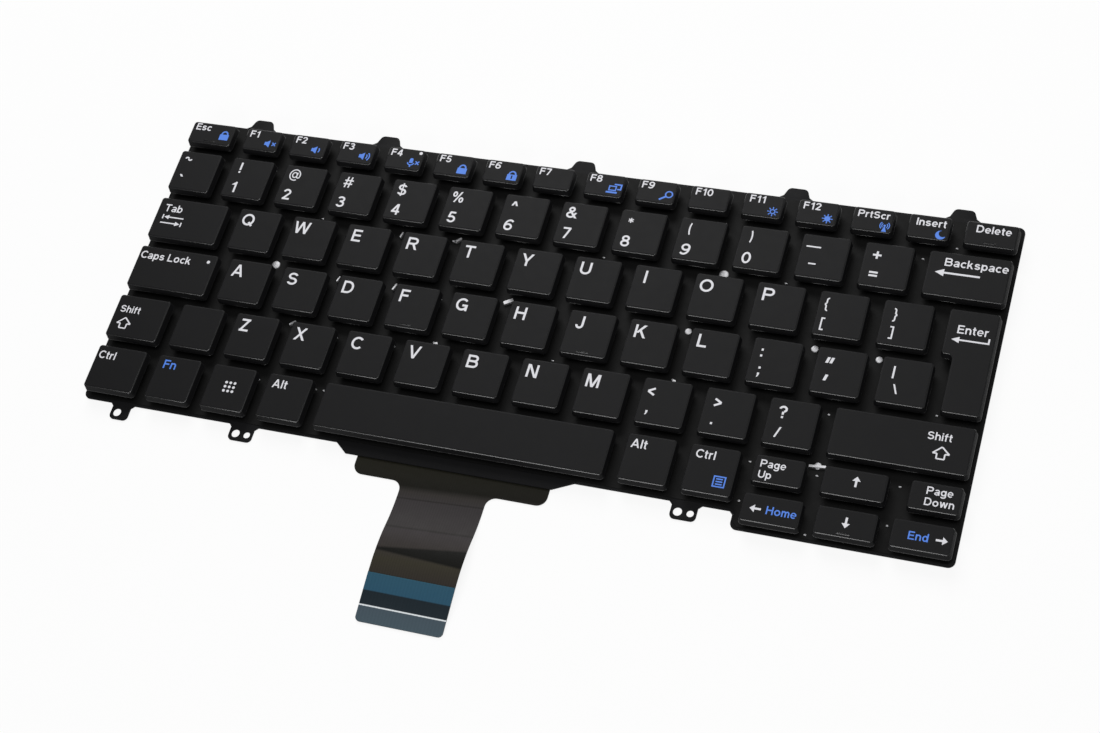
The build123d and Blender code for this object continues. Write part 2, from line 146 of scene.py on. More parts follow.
@dataclass(frozen=True)
class Finish:
    """A finish: two close shades in soft patches, a gloss that wanders a little, and a fine grain.

    Attributes:
        name: The material's name.
        colour: Main colour.
        shade: Colour that the patches run to.
        patch: Width of a patch in millimetres.
        roughness: Middle value of the roughness.
        spread: How far the roughness wanders each way.
        grain: Width of the grain in millimetres.
        depth: Depth of the grain in millimetres.
        ior: Index of refraction.
        metallic: 1 for bare metal.
        specular: Strength of the mirror-like part.
    """

    name: str
    colour: str
    shade: str
    patch: float
    roughness: float
    spread: float
    grain: float
    depth: float
    ior: float = 1.5
    metallic: float = 0.0
    specular: float = 0.5

    def paint(self, tree: Tree, place: Socket) -> Socket:
        """Lays the colour over the surface.

        Args:
            tree: The material's tree.
            place: Object coordinates.

        Returns:
            The colour socket.
        """
        blend = add_node(
            tree,
            "ShaderNodeMix",
            settings={"data_type": "RGBA"},
            values={6: srgb(self.colour), 7: srgb(self.shade)},
            links={0: noise(tree, self.patch, 3.0, place)},
        )
        return blend.outputs[2]

    def relief(self, tree: Tree, place: Socket) -> Socket:
        """Lays the grain.

        Args:
            tree: The material's tree.
            place: Object coordinates.

        Returns:
            The height socket, from 0 to 1.
        """
        return noise(tree, self.grain, 2.0, place)

    def gloss(self, tree: Tree, place: Socket) -> Socket:
        """Lets the roughness wander.

        Args:
            tree: The material's tree.
            place: Object coordinates.

        Returns:
            The roughness socket.
        """
        span = add_node(
            tree,
            "ShaderNodeMapRange",
            values={3: self.roughness - self.spread, 4: self.roughness + self.spread},
            links={0: noise(tree, self.patch / 3, 4.0, place)},
        )
        return span.outputs[0]

    def material(self) -> bpy.types.Material:
        """Builds the material, or finds it if it is already built.

        Returns:
            The material.
        """
        known = bpy.data.materials.get(self.name)
        if known:
            return known
        made = bpy.data.materials.new(self.name)
        made.use_nodes = True
        made.diffuse_color = srgb(self.colour)
        tree = made.node_tree
        tree.nodes.clear()
        place = add_node(tree, "ShaderNodeTexCoord").outputs["Object"]
        bump = add_node(
            tree,
            "ShaderNodeBump",
            values={"Distance": self.depth * MM},
            links={"Height": self.relief(tree, place)},
        )
        shader = add_node(
            tree,
            "ShaderNodeBsdfPrincipled",
            values={
                "IOR": self.ior,
                "Metallic": self.metallic,
                "Specular IOR Level": self.specular,
            },
            links={
                "Base Color": self.paint(tree, place),
                "Roughness": self.gloss(tree, place),
                "Normal": bump.outputs["Normal"],
            },
        )
        add_node(tree, "ShaderNodeOutputMaterial", links={"Surface": shader.outputs["BSDF"]})
        return made


@dataclass(frozen=True)
class BandedFilm(Finish):
    """A film whose colour changes along its length, in bands that may lie aslant.

    Attributes:
        start: Y of the first band's rear edge in millimetres.
        end: Y of the last band's front edge in millimetres.
        slant: How far a band's edge moves along Y for each millimetre along X.
        bands: Share of the length at which each band begins, with its colour.
        tracks: Spacing of the conductors in millimetres.
        track_depth: How much darker the film is between two conductors, from 0 to 1.
        arch_shade: Painted shade across the film's arch, by Y at X = 0 and slope of its rear edge and then of
            its front edge, or None.
        arch_shade_colour: Colour of that painted shade.
        arch_shade_blur: Half the width over which an edge of the painted shade fades, in millimetres.
    """

    start: float = 0.0
    end: float = 1.0
    slant: float = 0.0
    bands: tuple[tuple[float, str], ...] = ()
    tracks: float = 1.0
    track_depth: float = 0.1
    # Painted shade across the film's arch, with its colour and its soft edges.
    arch_shade: tuple[Point, Point] | None = None
    arch_shade_colour: str = "#151513"
    arch_shade_blur: float = 0.35

    def paint_arch_shade(self, tree: Tree, axes: Sequence[Socket], colour: Socket) -> Socket:
        """Paints shade across the film's arch, between two slanted edges.

        Args:
            tree: The material's tree.
            axes: The three object coordinates.
            colour: The film's colour.

        Returns:
            The colour with the painted shade in it.
        """
        shares = {}
        for index, ((height, slope), sense) in enumerate(zip(self.arch_shade, (-1, 1))):
            edge = maths(tree, "MULTIPLY_ADD", {1: slope, 2: height * MM}, {0: axes[0]})
            over = maths(tree, "SUBTRACT", links={0: axes[1], 1: edge})
            blur = self.arch_shade_blur * MM * sense
            share = add_node(tree, "ShaderNodeMapRange", values={1: -blur, 2: blur}, links={0: over})
            shares[index] = share.outputs[0]
        blend = add_node(
            tree,
            "ShaderNodeMix",
            settings={"data_type": "RGBA"},
            values={7: srgb(self.arch_shade_colour)},
            links={0: maths(tree, "MULTIPLY", links=shares), 6: colour},
        )
        return blend.outputs[2]

    def paint(self, tree: Tree, place: Socket) -> Socket:
        """Lays the bands, then the conductors that show through them, then any painted shade across the arch.

        Args:
            tree: The material's tree.
            place: Object coordinates.

        Returns:
            The colour socket.
        """
        axes = add_node(tree, "ShaderNodeSeparateXYZ", links={0: place}).outputs
        shift = maths(tree, "MULTIPLY", {1: self.slant}, {0: axes[0]})
        share = add_node(
            tree,
            "ShaderNodeMapRange",
            values={1: self.start * MM, 2: self.end * MM},
            links={0: maths(tree, "ADD", links={0: axes[1], 1: shift})},
        )
        ramp = add_node(tree, "ShaderNodeValToRGB", links={0: share.outputs[0]})
        stops = ramp.color_ramp.elements
        stops[0].position, stops[0].color = self.bands[0][0], srgb(self.bands[0][1])
        stops[1].position, stops[1].color = self.bands[-1][0], srgb(self.bands[-1][1])
        for position, colour in self.bands[1:-1]:
            stops.new(position).color = srgb(colour)
        turns = maths(tree, "MULTIPLY", {1: 2 * math.pi / (self.tracks * MM)}, {0: axes[0]})
        dark = add_node(
            tree,
            "ShaderNodeMapRange",
            values={1: -0.3, 2: 0.3, 3: 1 - self.track_depth, 4: 1.0},
            links={0: maths(tree, "SINE", links={0: turns})},
        )
        blend = add_node(
            tree,
            "ShaderNodeMix",
            settings={"data_type": "RGBA", "blend_type": "MULTIPLY"},
            values={0: 1.0},
            links={6: ramp.outputs[0], 7: dark.outputs[0]},
        )
        if self.arch_shade is None:
            return blend.outputs[2]
        return self.paint_arch_shade(tree, axes, blend.outputs[2])


# Moulded ABS with the fine matt of a spark-eroded mould: near black, with a soft satin sheen.
# The grit of such a mould is about 0.05 mm, and is drawn at 0.3 mm so that it shows.
KEYCAP_ABS = Finish(
    "Moulded ABS keycap", "#121213", "#161617", 9.0, 0.46, 0.05, 0.3, 0.012, ior=1.53, specular=0.085
)
# The same ABS, glossier and painted a lighter grey as a painted highlight: it puts a thin line of light along
# the caps' top edges, the lip round their feet and the homing bars.
EDGE_HIGHLIGHT_ABS = Finish(
    "Glossy ABS cap edge with painted highlight", "#1a1a1b", "#1e1e1f", 9.0, 0.26, 0.04, 0.3, 0.004, ior=1.53, specular=0.9
)
# Pad-printed ink: a thin, slightly chalky layer that hides the black below it.
WHITE_INK = Finish("White pad-print ink", "#e2e2e6", "#d2d2d8", 2.0, 0.55, 0.05, 0.2, 0.004)
BLUE_INK = Finish("Blue pad-print ink", "#4a83e6", "#3f76d8", 2.0, 0.55, 0.05, 0.2, 0.004)
# Dip-coated steel sheet: black paint with a faint orange peel.
PLATE_PAINT = Finish(
    "Black coated steel plate", "#171718", "#1b1b1c", 14.0, 0.5, 0.08, 0.9, 0.02, specular=0.05
)
# Printed polyester film: flat black with a dull shine.
MEMBRANE_FILM = Finish(
    "Black polyester membrane", "#121212", "#161616", 6.0, 0.5, 0.08, 1.2, 0.01, specular=0.07
)
# Silicone rubber: milky and matt.
DOME_RUBBER = Finish("Silicone rubber dome", "#8c8c88", "#7c7c78", 3.0, 0.6, 0.05, 0.4, 0.01, ior=1.41)
# Acetal: a smooth, slightly waxy black plastic.
SCISSOR_ACETAL = Finish("Black acetal scissor", "#191919", "#141414", 4.0, 0.35, 0.06, 0.5, 0.006, ior=1.48)
# Drawn spring wire: bright, with a soft streaky gloss.
SPRING_WIRE = Finish(
    "Drawn spring steel wire", "#b4b4b6", "#9a9a9e", 2.0, 0.28, 0.08, 0.15, 0.006, metallic=1.0
)
# Cast epoxy of a small lamp: pale, glossy and cloudy.
LAMP_EPOXY = Finish("Cast epoxy lamp", "#e8ece6", "#d8dcd6", 0.6, 0.12, 0.03, 0.3, 0.002, ior=1.54)
# Steel that a punch has left bare: dull and pale, it shows up brightly between the keys.
BARE_STEEL = Finish("Punched bare steel", "#d8d8da", "#c2c2c5", 0.8, 0.62, 0.08, 0.2, 0.01, metallic=1.0)
# Polyester ribbon with a black cover layer: thin, glossy, browner towards its end.
# The root's olive tone is the film's own, and its darkening towards its front edge is a painted shadow of the
# plate's flange.
# The two thin darker bands across the tail are painted shade along its bends.
RIBBON_FILM = BandedFilm(
    "Coated polyester ribbon", "#2c2928", "#242220", 8.0, 0.4, 0.08, 3.0, 0.05, specular=0.05,
    # The dark slanted band across the film's arch is painted shade.
    start=-54.0, end=-90.0, slant=-0.05, tracks=0.8, track_depth=0.1, arch_shade=((-78.8, 0.13), (-84.1, -0.05)),
    bands=(
        (0.0, "#201f18"), (0.1, "#1d1c17"), (0.17, "#191814"), (0.22, "#34312f"), (0.27, "#373434"),
        (0.28, "#2a2827"), (0.29, "#383536"), (0.53, "#373434"), (0.545, "#2a2827"), (0.56, "#383435"),
        (0.75, "#35312e"), (0.84, "#37342b"), (1.0, "#332f2c"),
    ),
)
# Polyester stiffener: clear blue over the conductors, paler at the bare contacts.
STIFFENER_FILM = BandedFilm(
    "Blue polyester stiffener", "#2b5a7d", "#27506f", 5.0, 0.32, 0.06, 2.0, 0.02, specular=0.2,
    start=-89.7, end=-104.0, slant=0.0, tracks=1.0, track_depth=0.06,
    bands=(
        (0.0, "#32606f"), (0.02, "#2d5265"), (0.36, "#2b5065"), (0.38, "#1d262c"), (0.65, "#20292f"),
        (0.662, "#e6ebee"), (0.678, "#e6ebee"), (0.688, "#46535c"), (1.0, "#47565f"),
    ),
)


# Place of the glossy edge material with its painted highlight among a cap's materials, after the plastic and
# the two inks.
EDGE_HIGHLIGHT_SLOT = 3


class Ink(Enum):
    """Colours of the print."""

    WHITE = 1
    BLUE = 2


# Code of the signs: each stroke is a word and its numbers, and the word is the name of the stencil's method.
# block left front right rear, frame the same and width, patch x y and so on, bar x y x y width,
# arc x y rx ry width start end, disc x y radius sides, arrow x y x y width head spread,
# rays count inner outer width, outline width x y and so on, crescent with the numbers of its two edges.
SPEAKER = "patch -2 -.6 -1.35 -.6 -.25 -1.35 -.25 1.35 -1.35 .6 -2 .6"
SOUND_WAVE = "arc -.4 0 1.1 1.1 .38 -42 42"
SUN_RAYS = "rays 8 .95 1.6 .3"
SMALL_HEAD = ".62 1.4 2.3"


class Sign(Enum):
    """Signs of the print that aren't words, by their strokes in millimetres about the middle."""

    PADLOCK = "block -1.55 -1.75 1.55 .35 arc 0 .3 1 1.15 .5 0 180"
    KEYHOLE = (
        "block -1.6 -1.75 -.22 .35 block .22 -1.75 1.6 .35 "
        "block -.25 -1.75 .25 -1.25 block -.25 0 .25 .35 arc 0 .3 1.05 1.15 .48 0 180"
    )
    SPEAKER_OFF = f"{SPEAKER} bar .6 -.6 1.8 .6 .38 bar .6 .6 1.8 -.6 .38"
    SPEAKER_LOW = f"{SPEAKER} {SOUND_WAVE}"
    SPEAKER_HIGH = f"{SPEAKER} {SOUND_WAVE} arc -.4 0 1.9 1.9 .38 -45 45"
    MICROPHONE_OFF = (
        "disc -.8 1 .6 20 block -1.4 -.2 -.2 1 arc -.8 -.1 1 .85 .38 180 360 "
        "block -1.02 -1.7 -.58 -.9 bar .7 -.6 1.9 .6 .38 bar .7 .6 1.9 -.6 .38"
    )
    SCREENS = (
        "frame -1.75 -.75 .75 1.1 .4 block -2.3 -1.6 1.2 -1 "
        "block -.2 1.35 2.3 1.85 block 1.85 -.2 2.3 1.4 block 1 -.3 2.3 .15"
    )
    LENS = "arc .75 .5 1.05 1.05 .42 0 360 bar 0 -.25 -1.9 -1.6 .6"
    OPEN_SUN = f"arc 0 0 .68 .68 .32 0 360 {SUN_RAYS}"
    SOLID_SUN = f"disc 0 0 .9 20 {SUN_RAYS}"
    MAST = (
        "patch -.75 -1.5 .75 -1.5 .12 .3 -.12 .3 disc 0 .6 .36 12 "
        "arc 0 .6 .85 .85 .28 -50 50 arc 0 .6 .85 .85 .28 130 230 "
        "arc 0 .6 1.4 1.4 .28 -50 50 arc 0 .6 1.4 1.4 .28 130 230"
    )
    MOON = "crescent 1.5 82 262 .62 .56 1.2 304 -182 1.44"
    LIST = (
        "frame -1.8 -1.75 1.8 1.75 .4 "
        "block -.95 -1 .95 -.6 block -.95 -.2 .95 .2 block -.95 .6 .95 1"
    )
    DOTS = " ".join(f"disc {x} {y} .45 12" for x in (-1.4, 0, 1.4) for y in (-1.4, 0, 1.4))
    LEFT = f"arrow 1.6 0 -1.6 0 {SMALL_HEAD}"
    RIGHT = f"arrow -1.6 0 1.6 0 {SMALL_HEAD}"
    UP = f"arrow 0 -1.6 0 1.6 {SMALL_HEAD}"
    DOWN = f"arrow 0 1.6 0 -1.6 {SMALL_HEAD}"
    LONG_LEFT = "arrow 6.4 0 -6.4 0 .6 2.6 2.4"
    RETURN = "arrow 5.3 0 -5.3 0 .5 2.2 2 block 4.8 .25 5.3 1.6"
    TABS = (
        "arrow 3.7 1.1 -3.1 1.1 .42 1.7 1.6 block -3.7 .3 -3.28 1.9 "
        "arrow -3.7 -1.1 3.1 -1.1 .42 1.7 1.6 block 3.28 -1.9 3.7 -.3"
    )
    SHIFT = "outline .42 -1.1 -1.8 1.1 -1.8 1.1 -.2 2.3 -.2 0 1.9 -2.3 -.2 -1.1 -.2"
    LAMP = "disc 0 0 .55 20"


@dataclass(frozen=True)
class Legend:
    """One printed mark.

    Attributes:
        mark: Words, or a sign.
        x: Distance of its middle from the left edge of the cap's flat top.
        y: Distance of its middle from the rear edge of the cap's flat top.
        height: Height of a capital letter, for words.
        ink: Colour of the print.
        weight: Weight of the words against the typeface's own.
    """

    mark: str | Sign
    x: float
    y: float
    height: float = 3.6
    ink: Ink = Ink.WHITE
    weight: float = 1.0


@dataclass
class Stencil:
    """Flat shapes of one mark, with y towards the rear."""

    shapes: list[list[Point]] = field(default_factory=list)

    def box(self) -> tuple[float, float, float, float]:
        """Finds the edges of all the shapes.

        Returns:
            The left, front, right and rear edges.
        """
        across = [x for shape in self.shapes for x, _ in shape]
        upward = [y for shape in self.shapes for _, y in shape]
        return min(across), min(upward), max(across), max(upward)

    def patch(self, *points: Point) -> None:
        """Adds a filled outline."""
        self.shapes.append(list(points))

    def block(self, left: float, front: float, right: float, rear: float) -> None:
        """Adds a filled rectangle by its edges."""
        self.patch((left, front), (right, front), (right, rear), (left, rear))

    def bar(self, start: Point, end: Point, width: float) -> None:
        """Adds a straight stroke.

        Args:
            start: One end of its middle line.
            end: The other end.
            width: Width of the stroke.
        """
        run = Vector(end) - Vector(start)
        side = Vector((-run.y, run.x)).normalized() * width / 2
        corners = [Vector(start) - side, Vector(end) - side, Vector(end) + side, Vector(start) + side]
        self.patch(*[tuple(corner) for corner in corners])

    def disc(self, middle: Point, radius: float, sides: int) -> None:
        """Adds a filled disc.

        Args:
            middle: Its centre.
            radius: Its radius.
            sides: Number of its sides.
        """
        turns = [2 * math.pi * index / sides for index in range(sides)]
        x, y = middle
        self.patch(*[(x + radius * math.cos(turn), y + radius * math.sin(turn)) for turn in turns])

    def arc(
        self, middle: Point, radii: Point, width: float, start: float, end: float, step: float = 15.0
    ) -> None:
        """Adds a curved stroke along part of an ellipse.

        Args:
            middle: Centre of the ellipse.
            radii: Its radii along x and y, to the stroke's middle line.
            width: Width of the stroke.
            start: First angle in degrees.
            end: Last angle in degrees.
            step: Largest angle of one straight part.
        """
        if end - start > 180:
            half = (start + end) / 2
            self.arc(middle, radii, width, start, half, step)
            self.arc(middle, radii, width, half, end, step)
            return
        count = math.ceil((end - start) / step)
        turns = [math.radians(start + (end - start) * index / count) for index in range(count + 1)]
        edges = []
        x, y = middle
        for side in (width / 2, -width / 2):
            wide, tall = radii[0] + side, radii[1] + side
            edges.append([(x + wide * math.cos(turn), y + tall * math.sin(turn)) for turn in turns])
        self.patch(*edges[0], *reversed(edges[1]))

    def slab(self, start: Point, end: Point, width: float) -> None:
        """Adds a slanted stroke whose two ends are level.

        Args:
            start: Lower end of its middle line.
            end: Upper end.
            width: Width across the stroke.
        """
        run = Vector(end) - Vector(start)
        half = width / 2 * run.length / abs(run.y)
        (x, y), (far_x, far_y) = start, end
        self.patch((x - half, y), (x + half, y), (far_x + half, far_y), (far_x - half, far_y))

    def frame(self, left: float, front: float, right: float, rear: float, width: float) -> None:
        """Adds a rectangle drawn as an outline.

        Args:
            left: Its left edge.
            front: Its front edge.
            right: Its right edge.
            rear: Its rear edge.
            width: Width of the line, inside those edges.
        """
        self.block(left, front, right, front + width)
        self.block(left, rear - width, right, rear)
        self.block(left, front + width, left + width, rear - width)
        self.block(right - width, front + width, right, rear - width)

    def arrow(self, tail: Point, tip: Point, width: float, head: float, spread: float) -> None:
        """Adds a straight arrow with a solid head.

        Args:
            tail: Where the shaft begins.
            tip: Point of the head.
            width: Width of the shaft.
            head: Length of the head.
            spread: Width of the head.
        """
        run = (Vector(tip) - Vector(tail)).normalized()
        side = Vector((-run.y, run.x)) * spread / 2
        neck = Vector(tip) - run * head
        self.bar(tail, tuple(neck), width)
        self.patch(tuple(neck - side), tip, tuple(neck + side))

    def rays(self, count: int, inner: float, outer: float, width: float) -> None:
        """Adds strokes that point away from the middle.

        Args:
            count: Number of strokes.
            inner: Where they begin.
            outer: Where they end.
            width: Width of a stroke.
        """
        for index in range(count):
            turn = 2 * math.pi * index / count
            reach = Vector((math.cos(turn), math.sin(turn)))
            self.bar(tuple(reach * inner), tuple(reach * outer), width)

    def outline(self, width: float, points: Sequence[Point]) -> None:
        """Adds a closed line of straight strokes."""
        for start, end in zip(points, (*points[1:], points[0])):
            self.bar(start, end, width)

    def crescent(self, disc: Sequence[float], bite: Sequence[float], limit: float) -> None:
        """Adds part of a circle, closed by part of a smaller one that bites into it.

        Args:
            disc: Radius, first angle and sweep in degrees of the outer edge.
            bite: X, y, radius, first angle and sweep of the inner edge.
            limit: Distance from the middle beyond which the inner edge is left out.
        """
        radius, start, sweep = disc
        turns = [math.radians(start + sweep * index / 24) for index in range(25)]
        edge = [(radius * math.cos(turn), radius * math.sin(turn)) for turn in turns]
        x, y, radius, start, sweep = bite
        turns = [math.radians(start + sweep * index / 18) for index in range(19)]
        hollow = [(x + radius * math.cos(turn), y + radius * math.sin(turn)) for turn in turns]
        self.patch(*edge, *[point for point in hollow if math.hypot(*point) < limit])

    def stroke(self, kind: str, sizes: Sequence[float], width: float) -> None:
        """Draws one stroke of a sign or a letter.

        Args:
            kind: Word or letter of the stroke's kind.
            sizes: Its numbers.
            width: Width of the pen, for the strokes of letters.
        """
        match kind:
            case "V":
                self.block(sizes[0] - width / 2, sizes[1], sizes[0] + width / 2, sizes[2])
            case "H":
                self.block(sizes[1], sizes[0] - width / 2, sizes[2], sizes[0] + width / 2)
            case "D":
                self.bar(sizes[:2], sizes[2:], width)
            case "S":
                self.slab(sizes[:2], sizes[2:], width)
            case "C":
                self.arc(sizes[:2], sizes[2:4], width, *sizes[4:])
            case "block":
                self.block(*sizes)
            case "frame":
                self.frame(*sizes)
            case "patch":
                self.patch(*zip(sizes[::2], sizes[1::2]))
            case "bar":
                self.bar(sizes[:2], sizes[2:4], sizes[4])
            case "arc":
                self.arc(sizes[:2], sizes[2:4], *sizes[4:])
            case "disc":
                self.disc(sizes[:2], sizes[2], int(sizes[3]))
            case "arrow":
                self.arrow(sizes[:2], sizes[2:4], *sizes[4:])
            case "rays":
                self.rays(int(sizes[0]), *sizes[1:])
            case "outline":
                self.outline(sizes[0], list(zip(sizes[1::2], sizes[2::2])))
            case "crescent":
                self.crescent(sizes[:3], sizes[3:8], sizes[8])

    def draw(self, code: str, width: float = 0.0) -> None:
        """Draws all the strokes of a sign or a letter.

        Args:
            code: The strokes' kinds, each with its numbers.
            width: Width of the pen, for the strokes of letters.
        """
        pen = width
        kind, sizes = "", []
        for part in [*code.split(), ""]:
            if part and not part.isalpha():
                sizes.append(float(part))
                continue
            if kind == "W":
                pen = width * sizes[0]
            elif kind:
                self.stroke(kind, tuple(sizes), pen)
            kind, sizes = part, []


def lay_outline(corners: Sequence[Point], inset: float, radius: float, steps: int = 5) -> list[Vector]:
    """Draws in a right-angled outline and rounds its corners.

    Args:
        corners: The corners, anticlockwise.
        inset: How far the outline is drawn in.
        radius: Radius of an outer corner before the outline is drawn in.
        steps: Straight parts in each rounded corner.

    Returns:
        Points of the new outline, anticlockwise.
    """
    points = []
    count = len(corners)
    for index, corner in enumerate(corners):
        come = (Vector(corner) - Vector(corners[index - 1])).normalized()
        leave = (Vector(corners[(index + 1) % count]) - Vector(corner)).normalized()
        inward = Vector((-come.y, come.x))
        turn = 1 if come.cross(leave) > 0 else -1
        sweep = max(radius - turn * inset, 0.12)
        moved = Vector(corner) + inset * (inward + Vector((-leave.y, leave.x)))
        middle = moved - come * sweep + inward * turn * sweep
        for step in range(steps + 1):
            angle = math.pi / 2 * step / steps
            points.append(middle - inward * turn * sweep * math.cos(angle) + come * sweep * math.sin(angle))
    return points


def skin(
    mesh: Mesh, rings: Iterable[tuple[Sequence[Vector], float]], closed: bool = False
) -> list[bmesh.types.BMFace]:
    """Skins level rings of equal count, in the order in which they follow one another.

    Args:
        mesh: The mesh that takes the faces.
        rings: Each ring's points, anticlockwise, and its height.
        closed: True where the last ring joins the first, and false where both ends get a face.

    Returns:
        The new faces.
    """
    rows = [[mesh.verts.new((point.x, point.y, height)) for point in points] for points, height in rings]
    faces = []
    pairs = list(zip(rows, rows[1:]))
    if closed:
        pairs.append((rows[-1], rows[0]))
    for lower, upper in pairs:
        for index in range(len(lower)):
            after = (index + 1) % len(lower)
            faces.append(mesh.faces.new((lower[index], lower[after], upper[after], upper[index])))
    if not closed:
        faces.append(mesh.faces.new(list(reversed(rows[0]))))
        faces.append(mesh.faces.new(rows[-1]))
    for face in faces:
        face.smooth = True
    return faces


def revolve(mesh: Mesh, profile: Sequence[Point], sides: int) -> None:
    """Turns a profile about the Z axis and closes both ends.

    Args:
        mesh: The mesh that takes the faces.
        profile: Radius and height, from the bottom to the top.
        sides: Number of sides.
    """
    turns = [2 * math.pi * index / sides for index in range(sides)]
    skin(
        mesh,
        [([Vector((radius * math.cos(turn), radius * math.sin(turn))) for turn in turns], height)
         for radius, height in profile],
    )


def rectangle(low: Vector, high: Vector) -> list[Point]:
    """Gives the corners of an upright rectangle, anticlockwise."""
    return [(low.x, low.y), (high.x, low.y), (high.x, high.y), (low.x, high.y)]


def to_object(name: str, mesh: Mesh, finishes: Sequence[Finish], crease: float = 38) -> Piece:
    """Writes a mesh in millimetres to an object in metres at the origin.

    Args:
        name: The object's name.
        mesh: The finished mesh, which is freed.
        finishes: Its finishes, in the order of its material numbers.
        crease: Angle in degrees from which an edge is sharp.

    Returns:
        The object.
    """
    mesh.transform(Matrix.Scale(MM, 4))
    data = bpy.data.meshes.new(name)
    mesh.to_mesh(data)
    mesh.free()
    for finish in finishes:
        data.materials.append(finish.material())
    data.set_sharp_from_angle(angle=math.radians(crease))
    made = bpy.data.objects.new(name, data)
    bpy.context.scene.collection.objects.link(made)
    return made


def keep(piece: Piece, body: str, slot: str, *nodes: str) -> None:
    """Attaches a finished piece to the empty of its body, and hides the CAD nodes that it stands for.

    Args:
        piece: The piece.
        body: CAD body that it rides on.
        slot: Name of a material slot; not used.
        nodes: CAD nodes that it stands for.
    """
    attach(piece, body)
    if nodes:
        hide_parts(*nodes)
    LOG.info("%s rides on %s with %d faces", piece.name, body, len(piece.data.polygons))


